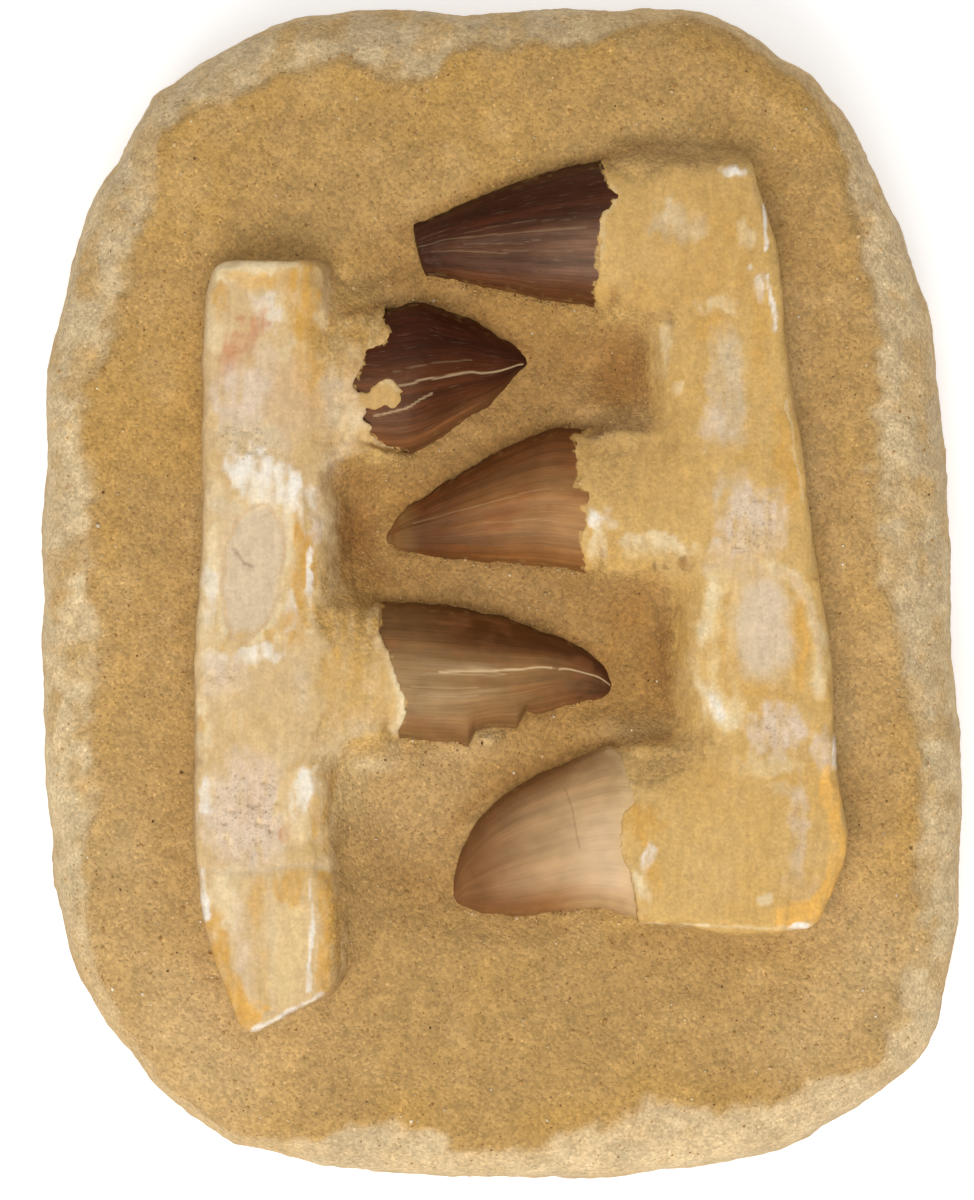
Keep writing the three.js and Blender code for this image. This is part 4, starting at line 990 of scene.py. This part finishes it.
    def corners(f, fan):
        cu, cv = uu[f].copy(), vv[f].copy()
        lo, hi = cu.min(1, keepdims=True), cu.max(1, keepdims=True)
        if fan:
            body_u = cu.copy()
            apex = f >= n * AROUND
            ring_lo = np.where(apex, 9, body_u).min(1, keepdims=True)
            ring_hi = np.where(apex, -9, body_u).max(1, keepdims=True)
            wrap = (ring_hi - ring_lo) > 0.5
            body_u = np.where(wrap & (body_u < 0.5) & ~apex, body_u + 1, body_u)
            centre = np.where(apex, 0, body_u).sum(1, keepdims=True) / 2
            cu = np.where(apex, centre, body_u)
        else:
            cu = np.where((hi - lo > 0.5) & (cu < 0.5), cu + 1, cu)
        return np.stack([0.01 + 0.98 * cu, cv], -1).reshape(-1, 2)

    uv = np.concatenate([corners(quads, False), corners(fan1, True), corners(fan0, True)])
    ob = piece(
        name + "_crown", co, [quads, fan1, fan0],
        {
            "tint": np.clip(np.vstack([col, col[-1:], col[:1]]), 0, 1),
            "around": ext(ang, ang[0], ang[0]),
            "lengthwise": ext(S, 1.0, 0.0),
        },
        uv,
    )
    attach(ob, "root")
    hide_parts(name)
    return ob


# -------------------------------------------------------------------- slab piece
GRID_X, GRID_Y = 236, 300
TOP_INSET = 1.1  # the top grid ends this far inside the edge; the flanks carry on from there
FLANK = [(0.35, 17.2), (0.0, 15.0), (-0.05, 13.0), (0.0, 11.2), (0.2, 9.4), (0.5, 7.6), (0.9, 6.0), (1.4, 4.5), (2.0, 3.1), (2.8, 1.9), (3.8, 0.9), (5.0, 0.0)]


# Paler and richer places in the sand: spot, half width and half height, pigment, strength. Many pale ones are painted
# light, lifting the shade on sand slopes beside and below the roots and along the right bone's outer side; the dark one
# is a painted shadow in a pit.
SAND_TONES_AND_PAINTED_LIGHT = [
    (200, 1030, 130, 110, "sand_pale", 0.95), (880, 960, 64, 84, "sand_pale", 0.95), (800, 1040, 60, 40, "sand_pale", 0.6), (836, 912, 26, 26, "sand_pale", 0.5), (425, 800, 70, 60, "sand_pale", 0.55), (870, 600, 40, 160, "sand_pale", 0.4),
    (634, 430, 52, 18, "sand_pale", 0.95), (350, 620, 40, 30, "sand_gold", 0.6), (640, 770, 60, 20, "sand_pale", 0.4), (630, 734, 40, 16, "sand_pale", 0.6), (386, 308, 30, 13, "sand_pale", 0.7), (486, 738, 14, 10, "butter", 0.6), (662, 572, 18, 9, "sand_shaded", 0.8), (690, 370, 20, 60, "sand_gold", 0.7),
    (690, 650, 16, 70, "sand_gold", 0.7), (360, 320, 36, 26, "sand_gold", 0.6), (360, 775, 34, 26, "sand_pale", 0.7), (368, 764, 24, 9, "cream", 0.75), (394, 744, 9, 9, "cream", 0.6), (340, 785, 16, 14, "sand_pale", 0.6),
    (110, 840, 50, 120, "sand_pale", 0.6), (100, 660, 26, 60, "sand_pale", 0.4), (455, 752, 60, 12, "sand_pale", 0.6), (335, 768, 19, 36, "butter", 0.85), (628, 921, 26, 12, "ochre", 0.8),
    (668, 155, 80, 14, "sand_pale", 0.4), (618, 315, 44, 10, "ochre", 0.8), (610, 568, 42, 11, "ochre", 0.8), (376, 738, 46, 15, "ochre", 0.75), (338, 755, 18, 28, "ochre", 0.7),
    (388, 456, 28, 10, "ochre", 0.85), (795, 370, 15, 60, "sand_pale", 0.6), (815, 480, 14, 60, "sand_pale", 0.7), (832, 620, 14, 80, "sand_pale", 0.6), (846, 720, 14, 60, "sand_pale", 0.6),
]


def slab_tint(x, y, bare, inset, z, flank=0.0):
    a = np.arctan2(y, x)
    big = fbm(x, y, z, 30, 2, 301)
    med = fbm(x, y, z, 8, 3, 303)
    fine = fbm(x, y, z, 2.6, 2, 305)
    col = np.repeat(PIGMENT["sand"][None], len(x), 0)
    col = mix(col, PIGMENT["sand_gold"], (0.6 * ramp(big + 0.4 * med, -0.1, 0.8))[:, None])
    col = mix(col, PIGMENT["sand_pale"], (0.35 * ramp(med, 0.2, 0.9))[:, None])
    # a band of richer sand just inside the rim
    band = np.exp(-(((inset - rim_width(a) - 3.5) / 3.0) ** 2)) * ramp(noise(x, y, 0, 9, 307), -0.4, 0.5)
    col = mix(col, PIGMENT["sand_gold"], (0.7 * band)[:, None])
    # painted shade: darker sand in the hollow between the bones and in the cups
    bx, hx, by, hy, soft, _ = BASIN
    edge = lambda d, half: 1 - ramp(np.abs(d) - half, -8, 8)
    hollow_shade = 0.52 * edge(x - bx, hx) * edge(y - by, hy)
    for cx, cy, rx, ry, _, shade_strength in CUPS:
        hollow_shade = np.maximum(hollow_shade, shade_strength * np.exp(-(((x - cx) / (rx * 1.2)) ** 2) - ((y - cy) / (ry * 1.2)) ** 2))
    col = mix(col, PIGMENT["sand_shaded"], hollow_shade[:, None])
    # tones from the table, painted light and painted shadow among them
    for u, v, ru, rv, tone, strength in SAND_TONES_AND_PAINTED_LIGHT:
        cx, cy = spot(u, v, 30)
        w = strength * np.exp(-(((x - cx) / (ru * 0.187)) ** 2) - ((y - cy) / (rv * 0.187)) ** 2)
        col = mix(col, PIGMENT[tone], np.clip(w * (1 + 0.3 * med), 0, 1)[:, None])
    # scraped rim in its own pale and grey tones; the grey growing towards the back is painted shade, and the front,
    # with fewer sand patches and so paler, is painted light from the key light in front
    front = 1 - 0.75 * ramp(-y, 82, 98)
    rim = mix(PIGMENT["rim"], PIGMENT["rim_grey"], np.clip(0.6 + 0.6 * med + 0.25 * np.sin(a), 0, 1)[:, None])
    rim = mix(rim, PIGMENT["cream"], np.clip(0.4 * ramp(fbm(x, y, z, 4.2, 2, 309), 0.15, 0.8) + 0.2 * ramp(-x, 30, 80), 0, 1)[:, None])
    rim = mix(rim, PIGMENT["sand_pale"], (0.75 * ramp(fbm(x, y, z, 6.5, 3, 311), -0.05, 0.75) * front)[:, None])
    rim = mix(rim, PIGMENT["sand_gold"], (0.5 * ramp(fbm(x, y, z, 5.0, 3, 313), 0.25, 0.9) * front)[:, None])
    rim = mix(rim, PIGMENT["sand_pale"], np.clip(0.1 + 0.6 * ramp(9 - rim_width(a), 0, 5), 0, 1)[:, None])
    col = mix(col, rim, bare[:, None])
    # painted shadow: darker sand along the upper side of each crown, the side away from the key light
    for name in TEETH:
        d = crown_reach(name, x, y)[0]
        above = ramp(d - crown_reach(name, x, y - 1.2)[0], 0.2, 0.9)
        col = mix(col, PIGMENT["sand_shaded"], (0.5 * above * np.exp(-((d / 1.5) ** 2)))[:, None])
    return col * np.exp(0.1 * fine)[:, None]


def slab_piece():
    s = np.linspace(-1, 1, GRID_X + 1)
    t = np.linspace(-1, 1, GRID_Y + 1)
    S, T = np.meshgrid(s, t, indexing="ij")
    a = np.arctan2(T * HALF_LENGTH, S * HALF_WIDTH)
    box = 1 / np.maximum(np.abs(np.cos(a)) / HALF_WIDTH, np.abs(np.sin(a)) / HALF_LENGTH)
    r = np.maximum(np.abs(S), np.abs(T))
    outer = edge_radius(a) + knocks(a) - TOP_INSET
    k = 1 - (1 - outer / box) * r**2
    x, y = S * HALF_WIDTH * k, T * HALF_LENGTH * k
    x, y = x.ravel(), y.ravel()
    z, bare, inset, share = surface(x, y)
    inner = r.ravel() < 0.999
    grain = 0.1 * (np.random.default_rng(5).random(len(x)) - 0.5) * inner
    z = z + grain
    top = np.stack([x, y, z], 1)
    tint = slab_tint(x, y, bare, inset, z)
    ids = np.arange(len(x)).reshape(GRID_X + 1, GRID_Y + 1)
    quads = np.stack([ids[:-1, :-1], ids[1:, :-1], ids[1:, 1:], ids[:-1, 1:]], -1).reshape(-1, 4)
    loop = np.concatenate([ids[:-1, 0], ids[-1, :-1], ids[:0:-1, -1], ids[0, :0:-1]])
    n = len(loop)
    la = np.arctan2(y[loop], x[loop])
    edge = edge_radius(la) + knocks(la)
    rows = [loop]
    co, tints = [top], [tint]
    count = len(top)
    for j, (q, h) in enumerate(FLANK):
        fade = ramp(h, 0.0, 2.5)
        ex, ey = edge * np.cos(la), edge * np.sin(la)
        lump = (0.6 * fbm(ex, ey, h, 9, 3, 401) + 0.25 * fbm(ex, ey, h * 1.4, 2.4, 2, 403) + 0.12 * noise(ex, ey, h, 1.1, 405)) * fade
        lump = np.where(h > 14, lump * 0.55, lump)
        start = np.hypot(x[loop], y[loop])
        rr = edge - q + lump - 0.25
        rr = mix(start, rr, min(1.0, (j + 1) / 2))
        hz = mix(z[loop], h, min(1.0, (j + 1.6) / 2.6)) if j < 2 else np.full(n, h)
        hz = hz + (0.35 * noise(ex, ey, h, 3.0, 407) if 0 < h < 16 else 0.0) * (h > 0.5)
        ring = np.stack([rr * np.cos(la), rr * np.sin(la), hz], 1)
        co.append(ring)
        tints.append(slab_tint(ring[:, 0], ring[:, 1], np.full(n, 0.85), np.zeros(n), hz) * 0.97)
        rows.append(count + np.arange(n))
        count += n
    # flat underside
    foot = co[-1]
    for f in (0.75, 0.45, 0.18):
        ring = foot * f
        ring[:, 2] = 0
        co.append(ring)
        tints.append(slab_tint(ring[:, 0], ring[:, 1], np.full(n, 0.7), np.zeros(n), np.zeros(n)))
        rows.append(count + np.arange(n))
        count += n
    co.append(np.zeros((1, 3)))
    tints.append(tints[-1][:1])
    co, tints = np.concatenate(co), np.concatenate(tints)
    i = np.arange(n)
    sides, side_uv = [], []
    # map: the top takes most of the square, the flank is cut into four strips beside it, the underside is small
    W, H = 2 * HALF_WIDTH + 6, 2 * HALF_LENGTH + 6
    sc = 0.985 / H
    top_uv = np.stack([(top[:, 0] + W / 2) * sc + 0.005, (top[:, 1] + H / 2) * sc + 0.005], 1)
    uvs = [top_uv[quads].reshape(-1, 2)]
    left = W * sc + 0.015
    strip = (0.995 - left) / 4
    levels = len(FLANK)
    turn = np.arange(n + 1) / n * 4
    for j in range(levels):
        a0, b0 = rows[j], rows[j + 1]
        q = np.stack([a0[i], b0[i], b0[(i + 1) % n], a0[(i + 1) % n]], 1)
        quarter = np.minimum(np.floor(turn[:-1] + 1e-9), 3)
        v0 = (turn[:-1] - quarter) * 0.74 + 0.005
        v1 = (turn[1:] - quarter) * 0.74 + 0.005
        u0 = left + quarter * strip + strip * 0.9 * j / levels
        u1 = left + quarter * strip + strip * 0.9 * (j + 1) / levels
        uvs.append(np.stack([np.stack([u0, v0], 1), np.stack([u1, v0], 1), np.stack([u1, v1], 1), np.stack([u0, v1], 1)], 1).reshape(-1, 2))
        sides.append(q)
    kb = min((0.995 - left) / W, 0.23 / H)
    flat = lambda p: np.stack([left + (p[..., 0] + W / 2) * kb, 0.76 + (p[..., 1] + H / 2) * kb], -1)
    for j in range(levels, len(rows) - 1):
        a0, b0 = rows[j], rows[j + 1]
        q = np.stack([a0[i], b0[i], b0[(i + 1) % n], a0[(i + 1) % n]], 1)
        uvs.append(flat(co[q]).reshape(-1, 2))
        sides.append(q)
    fan = np.stack([rows[-1][i], np.full(n, len(co) - 1), rows[-1][(i + 1) % n]], 1)
    uvs.append(flat(co[fan]).reshape(-1, 2))
    faces = [quads] + sides + [fan]
    ob = piece("matrix_slab_sand", co, faces, {"tint": np.clip(tints, 0, 1)}, np.concatenate(uvs))
    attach(ob, "root")
    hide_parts("matrix_slab")
    return ob


# ------------------------------------------------------------------ loose grains
def grains_piece(count):
    rng = np.random.default_rng(11)
    x = rng.uniform(-86, 87, count * 3)
    y = rng.uniform(-111, 111, count * 3)
    # more of them along the edges of the crowns
    for mid, half, across, _, _, _ in AXES.values():
        k = rng.integers(12, 60, 260)
        way = rng.choice([-1.0, 1.0], 260) * (half[k] + rng.uniform(-0.1, 1.1, 260))
        x = np.concatenate([mid[k, 0] + across[k, 0] * way, x])
        y = np.concatenate([mid[k, 1] + across[k, 1] * way, y])
    z, bare, inset, share = surface(x, y)
    keep = (inset > 2.5) & (rng.random(len(x)) > bare * 0.75)
    for jaw in (LEFT, RIGHT):
        keep &= smax(smax(*strip_plan(jaw, x, y)[:2], 2.0), strip_plan(jaw, x, y)[2], 2.0) > -0.3
    for name, t in TEETH.items():
        keep &= crown_reach(name, x, y)[0] > -0.1
        tau, across, length = root_local(t, x, y)
        keep &= ~((np.abs(across) < t["half"]) & (tau < 1) & (tau > -length))
    x, y, z = x[keep][:count], y[keep][:count], z[keep][:count]
    m = len(x)
    g = (1 + 5**0.5) / 2
    ico = np.array([(-1, g, 0), (1, g, 0), (-1, -g, 0), (1, -g, 0), (0, -1, g), (0, 1, g), (0, -1, -g), (0, 1, -g), (g, 0, -1), (g, 0, 1), (-g, 0, -1), (-g, 0, 1)]) / math.hypot(1, g)
    tri = np.array([(0, 11, 5), (0, 5, 1), (0, 1, 7), (0, 7, 10), (0, 10, 11), (1, 5, 9), (5, 11, 4), (11, 10, 2), (10, 7, 6), (7, 1, 8), (3, 9, 4), (3, 4, 2), (3, 2, 6), (3, 6, 8), (3, 8, 9), (4, 9, 5), (2, 4, 11), (6, 2, 10), (8, 6, 7), (9, 8, 1)])
    size = np.clip(0.15 * np.exp(0.36 * rng.standard_normal(m)), 0.09, 0.42)
    shape = 1 + 0.28 * rng.standard_normal((m, 12, 1)).clip(-1.5, 1.5)
    stretch = rng.uniform(0.75, 1.25, (m, 1, 3))
    q = rng.standard_normal((m, 4))
    q /= np.linalg.norm(q, axis=1, keepdims=True)
    w, a, b, c = q.T
    rot = np.stack([1 - 2 * (b * b + c * c), 2 * (a * b - c * w), 2 * (a * c + b * w), 2 * (a * b + c * w), 1 - 2 * (a * a + c * c), 2 * (b * c - a * w), 2 * (a * c - b * w), 2 * (b * c + a * w), 1 - 2 * (a * a + b * b)], 1).reshape(m, 3, 3)
    co = np.einsum("mij,mkj->mki", rot, ico[None] * shape * stretch) * size[:, None, None]
    co += np.stack([x, y, z + size * 0.25], 1)[:, None, :]
    faces = (tri[None] + 12 * np.arange(m)[:, None, None]).reshape(-1, 3)
    kinds = np.array([colour(214, 180, 128), colour(200, 158, 98), colour(182, 136, 76), colour(240, 224, 194), colour(120, 84, 50), colour(78, 54, 36)])
    pick = rng.choice(6, m, p=[0.32, 0.38, 0.262, 0.02, 0.016, 0.002])
    # the grains take the sand's tint beneath them, painted shade in the hollows included
    local = slab_tint(x, y, np.zeros(m), np.full(m, 40.0), z)
    tint = (mix(kinds[pick], local * (kinds[pick] / kinds[1]), 0.6) * rng.uniform(0.85, 1.15, (m, 1))).repeat(12, 0)
    ob = piece("loose_grains", co.reshape(-1, 3), [faces], {"tint": np.clip(tint, 0, 1)}, None, smooth=False)
    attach(ob, "root")
    return ob


# -------------------------------------------------------------------- materials
class Nodes:
    def __init__(self, name, roughness, specular):
        self.mat = bpy.data.materials.new(name)
        self.mat.use_nodes = True
        self.tree = self.mat.node_tree
        self.tree.nodes.clear()
        self.out = self.tree.nodes.new("ShaderNodeOutputMaterial")
        self.shader = self.tree.nodes.new("ShaderNodeBsdfPrincipled")
        self.shader.inputs["Roughness"].default_value = roughness
        self.shader.inputs["Specular IOR Level"].default_value = specular
        self.link(self.shader.outputs[0], self.out.inputs[0])

    def link(self, a, b):
        self.tree.links.new(a, b)

    def attribute(self, name, output):
        n = self.tree.nodes.new("ShaderNodeAttribute")
        n.attribute_name = name
        return n.outputs[output]

    def place(self):
        return self.tree.nodes.new("ShaderNodeTexCoord").outputs["Object"]

    def scaled(self, vector, scale):
        n = self.tree.nodes.new("ShaderNodeMapping")
        n.inputs["Scale"].default_value = scale
        self.link(vector, n.inputs["Vector"])
        return n.outputs[0]

    def noise(self, vector, scale, detail=2.0, rough=0.5):
        n = self.tree.nodes.new("ShaderNodeTexNoise")
        n.inputs["Scale"].default_value = scale
        n.inputs["Detail"].default_value = detail
        n.inputs["Roughness"].default_value = rough
        self.link(vector, n.inputs["Vector"])
        return n.outputs[0]

    def cells(self, vector, scale):
        n = self.tree.nodes.new("ShaderNodeTexVoronoi")
        n.inputs["Scale"].default_value = scale
        self.link(vector, n.inputs["Vector"])
        split = self.tree.nodes.new("ShaderNodeSeparateColor")
        self.link(n.outputs["Color"], split.inputs[0])
        return n.outputs["Distance"], split.outputs[0], split.outputs[1]

    def math(self, op, a, b=None, c=None, clamp=False):
        n = self.tree.nodes.new("ShaderNodeMath")
        n.operation = op
        n.use_clamp = clamp
        for k, v in enumerate((a, b, c)):
            if v is None:
                continue
            if isinstance(v, (int, float)):
                n.inputs[k].default_value = v
            else:
                self.link(v, n.inputs[k])
        return n.outputs[0]

    def span(self, value, lo, hi, out_lo, out_hi):
        n = self.tree.nodes.new("ShaderNodeMapRange")
        for k, v in zip(("From Min", "From Max", "To Min", "To Max"), (lo, hi, out_lo, out_hi)):
            n.inputs[k].default_value = v
        self.link(value, n.inputs["Value"])
        return n.outputs[0]

    def blend(self, factor, a, b, kind="MIX"):
        n = self.tree.nodes.new("ShaderNodeMix")
        n.data_type = "RGBA"
        n.blend_type = kind
        n.clamp_result = False
        if isinstance(factor, (int, float)):
            n.inputs[0].default_value = factor
        else:
            self.link(factor, n.inputs[0])
        for k, v in ((6, a), (7, b)):
            if isinstance(v, tuple):
                n.inputs[k].default_value = (*v, 1.0)
            else:
                self.link(v, n.inputs[k])
        return n.outputs[2]

    def times(self, tone, value):
        n = self.tree.nodes.new("ShaderNodeVectorMath")
        n.operation = "SCALE"
        self.link(tone, n.inputs[0])
        self.link(value, n.inputs["Scale"])
        return n.outputs[0]

    def bump(self, height, strength, distance):
        n = self.tree.nodes.new("ShaderNodeBump")
        n.inputs["Strength"].default_value = strength
        n.inputs["Distance"].default_value = distance
        self.link(height, n.inputs["Height"])
        self.link(n.outputs[0], self.shader.inputs["Normal"])

    def base(self, tone):
        self.link(tone, self.shader.inputs["Base Color"])


def sand_material():
    m = Nodes("gritty sand", 0.92, 0.25)
    p = m.place()
    dist, red, green = m.cells(p, 1900)
    fine = m.noise(p, 4200, 2.0)
    mid = m.noise(p, 950, 3.0, 0.6)
    tone = m.attribute("tint", "Color")
    tone = m.times(tone, m.span(red, 0, 1, 0.8, 1.19))
    tone = m.times(tone, m.span(mid, 0.3, 0.7, 0.93, 1.07))
    d2, r2, g2 = m.cells(p, 1150)
    pale = m.math("MULTIPLY", m.math("GREATER_THAN", r2, 0.91), m.span(d2, 0.16, 0.4, 0.34, 0))
    dark = m.math("MULTIPLY", m.math("GREATER_THAN", g2, 0.95), m.span(d2, 0.16, 0.36, 0.34, 0))
    tone = m.times(tone, m.math("ADD", 1.0, pale))
    tone = m.times(tone, m.math("SUBTRACT", 1.0, dark))
    m.base(tone)
    height = m.math("ADD", m.math("MULTIPLY", dist, -0.6), m.math("ADD", m.math("MULTIPLY", fine, 0.35), m.math("MULTIPLY", mid, 0.8)))
    m.bump(height, 0.6, 0.00034)
    return m.mat


def bone_material(name, along_scale):
    m = Nodes(name, 0.72, 0.3)
    p = m.place()
    grit = m.attribute("grit", "Fac")
    pore = m.attribute("pore", "Fac")
    dist, red, green = m.cells(p, 1900)
    speck = m.math("ADD", 1.0, m.math("MULTIPLY", m.span(red, 0, 1, -0.24, 0.22), grit))
    fibre = m.noise(m.scaled(p, (900, along_scale, 900)), 1.0, 3.0, 0.6)
    mottle = m.noise(p, 520, 4.0, 0.62)
    tone = m.attribute("tint", "Color")
    tone = m.times(tone, speck)
    tone = m.times(tone, m.span(fibre, 0.3, 0.7, 0.93, 1.07))
    tone = m.times(tone, m.span(mottle, 0.3, 0.7, 0.92, 1.08))
    tone = m.times(tone, m.span(m.noise(p, 1500, 2.0), 0.3, 0.7, 0.94, 1.06))
    d2, r2, g2 = m.cells(m.scaled(p, (1.0, 0.8, 1.0)), 1250)
    d3, r3, g3 = m.cells(p, 2300)
    big = m.math("MULTIPLY", m.span(d2, 0.12, 0.42, 1, 0), m.span(r2, 0.35, 0.95, 0, 1))
    small = m.math("MULTIPLY", m.span(d3, 0.15, 0.45, 1, 0), m.span(r3, 0.3, 0.9, 0, 0.7))
    # the pores are darkened: painted shade in the pits, which the bump also sinks
    hole = m.math("MULTIPLY", m.math("MAXIMUM", big, small), pore)
    tone = m.blend(m.math("MULTIPLY", hole, 0.5), tone, (0.26, 0.18, 0.12))
    m.base(tone)
    m.link(m.span(mottle, 0.3, 0.7, 0.6, 0.85), m.shader.inputs["Roughness"])
    height = m.math("ADD", m.math("MULTIPLY", m.math("MULTIPLY", dist, -0.5), grit), m.math("ADD", m.math("MULTIPLY", mottle, 0.9), m.math("MULTIPLY", fibre, 0.35)))
    height = m.math("SUBTRACT", height, m.math("MULTIPLY", hole, 1.2))
    m.bump(height, 0.45, 0.0004)
    return m.mat


def enamel_material(name, rough_lo, rough_hi, streaky):
    m = Nodes(name, 0.35, 0.14)
    m.shader.inputs["Specular Tint"].default_value = (1.0, 0.86, 0.74, 1.0)
    join = m.tree.nodes.new("ShaderNodeCombineXYZ")
    m.link(m.attribute("around", "Fac"), join.inputs[0])
    m.link(m.attribute("lengthwise", "Fac"), join.inputs[1])
    q = join.outputs[0]
    broad = m.noise(m.scaled(q, (7.0, 2.2, 1)), 1.0, 3.0, 0.55)
    thread = m.noise(m.scaled(q, (42.0, 3.6, 1)), 1.0, 4.0, 0.65)
    p = m.place()
    cloud = m.noise(p, 230, 3.0)
    fleck = m.noise(p, 1500, 2.0)
    tone = m.attribute("tint", "Color")
    tone = m.times(tone, m.span(broad, 0.3, 0.7, 1 - 0.6 * streaky, 1 + 0.6 * streaky))
    tone = m.times(tone, m.span(thread, 0.3, 0.7, 1 - 0.75 * streaky, 1 + 0.75 * streaky))
    hair = m.noise(m.scaled(q, (75.0, 7.0, 1)), 1.0, 2.0, 0.6)
    tone = m.blend(m.span(hair, 0.64, 0.76, 0, streaky), tone, (0.55, 0.4, 0.27))
    tone = m.times(tone, m.span(cloud, 0.3, 0.7, 0.92, 1.08))
    m.base(tone)
    m.link(m.span(m.math("ADD", m.math("MULTIPLY", thread, 0.6), m.math("MULTIPLY", fleck, 0.4)), 0.35, 0.65, rough_lo, rough_hi), m.shader.inputs["Roughness"])
    height = m.math("ADD", m.math("MULTIPLY", thread, 1.0), m.math("ADD", m.math("MULTIPLY", broad, 0.5), m.math("MULTIPLY", fleck, 0.15)))
    m.bump(height, 0.35, 0.00022)
    return m.mat


def grain_material():
    m = Nodes("loose grain", 0.7, 0.25)
    p = m.place()
    tone = m.times(m.attribute("tint", "Color"), m.span(m.noise(p, 3000, 1.0), 0.3, 0.7, 0.85, 1.15))
    m.base(tone)
    return m.mat


def floor_material():
    m = Nodes("pale floor", 0.9, 0.1)
    p = m.place()
    tone = m.span(m.noise(p, 6.0, 3.0), 0.3, 0.7, 0.9, 0.92)
    m.link(tone, m.shader.inputs["Base Color"])
    m.shader.inputs["Emission Color"].default_value = (1.0, 1.0, 1.0, 1.0)
    m.shader.inputs["Emission Strength"].default_value = 0.34
    return m.mat


# ----------------------------------------------------------------------- build
slab = slab_piece()
slab.data.materials.append(sand_material())
left = jaw_piece("jaw_left", LEFT, "tan", LEFT_MARKS, LEFT_LINES, LEFT_PORES, 0.46)
left.data.materials.append(bone_material("worn bone, left", 140))
right = jaw_piece("jaw_right", RIGHT, "ochre", RIGHT_MARKS, RIGHT_LINES, RIGHT_PORES, 0.46)
right.data.materials.append(bone_material("worn bone, right", 160))
SLOTS = {"tooth_1": "enamel_dark", "tooth_2": "enamel_dark", "tooth_3": "enamel_brown", "tooth_4": "enamel_grey", "tooth_5": "enamel_pale"}
STREAKY = {"enamel_dark": 0.4, "enamel_brown": 0.24, "enamel_grey": 0.24, "enamel_pale": 0.1}
finish = {s: enamel_material(s.replace("_", " "), 0.26, 0.46, k) for s, k in STREAKY.items()}
for name, slot in SLOTS.items():
    crown = crown_piece(name)
    crown.data.materials.append(finish[slot])
grains = grains_piece(7000)
grains.data.materials.append(grain_material())

# ------------------------------------------------------------- floor, light, view
floor_mesh = bpy.data.meshes.new("floor")
floor_mesh.from_pydata([(-3, -3, 0), (3, -3, 0), (3, 3, 0), (-3, 3, 0)], [], [(0, 1, 2, 3)])
floor = bpy.data.objects.new("floor", floor_mesh)
bpy.context.scene.collection.objects.link(floor)
floor.location.z = -0.0002
floor_mesh.materials.append(floor_material())


def area_light(name, at, size, power):
    data = bpy.data.lights.new(name, "AREA")
    data.shape = "RECTANGLE"
    data.size, data.size_y = size
    data.energy = power
    ob = bpy.data.objects.new(name, data)
    bpy.context.scene.collection.objects.link(ob)
    ob.location = at
    d = np.array(at) / np.linalg.norm(at)
    ob.rotation_euler = (math.acos(d[2]), 0.0, math.atan2(d[0], -d[1]))
    return ob


area_light("key", (-0.25, -0.95, 1.25), (1.3, 0.9), 17.0)
area_light("top", (0.1, 0.25, 1.7), (1.6, 1.6), 9.0)
world = bpy.data.worlds.new("studio")
bpy.context.scene.world = world
world.use_nodes = True
world.node_tree.nodes["Background"].inputs[0].default_value = (1.0, 1.0, 1.0, 1.0)
world.node_tree.nodes["Background"].inputs[1].default_value = 0.4

view = bpy.data.cameras.new("view")
view.lens = 36.0 * 1000 / (1200 * SPOT)
camera = bpy.data.objects.new("view", view)
bpy.context.scene.collection.objects.link(camera)
camera.location = tuple((np.array(EYE) - MIDDLE) * MM)
bpy.context.scene.camera = camera
bpy.context.scene.view_settings.view_transform = "Standard"
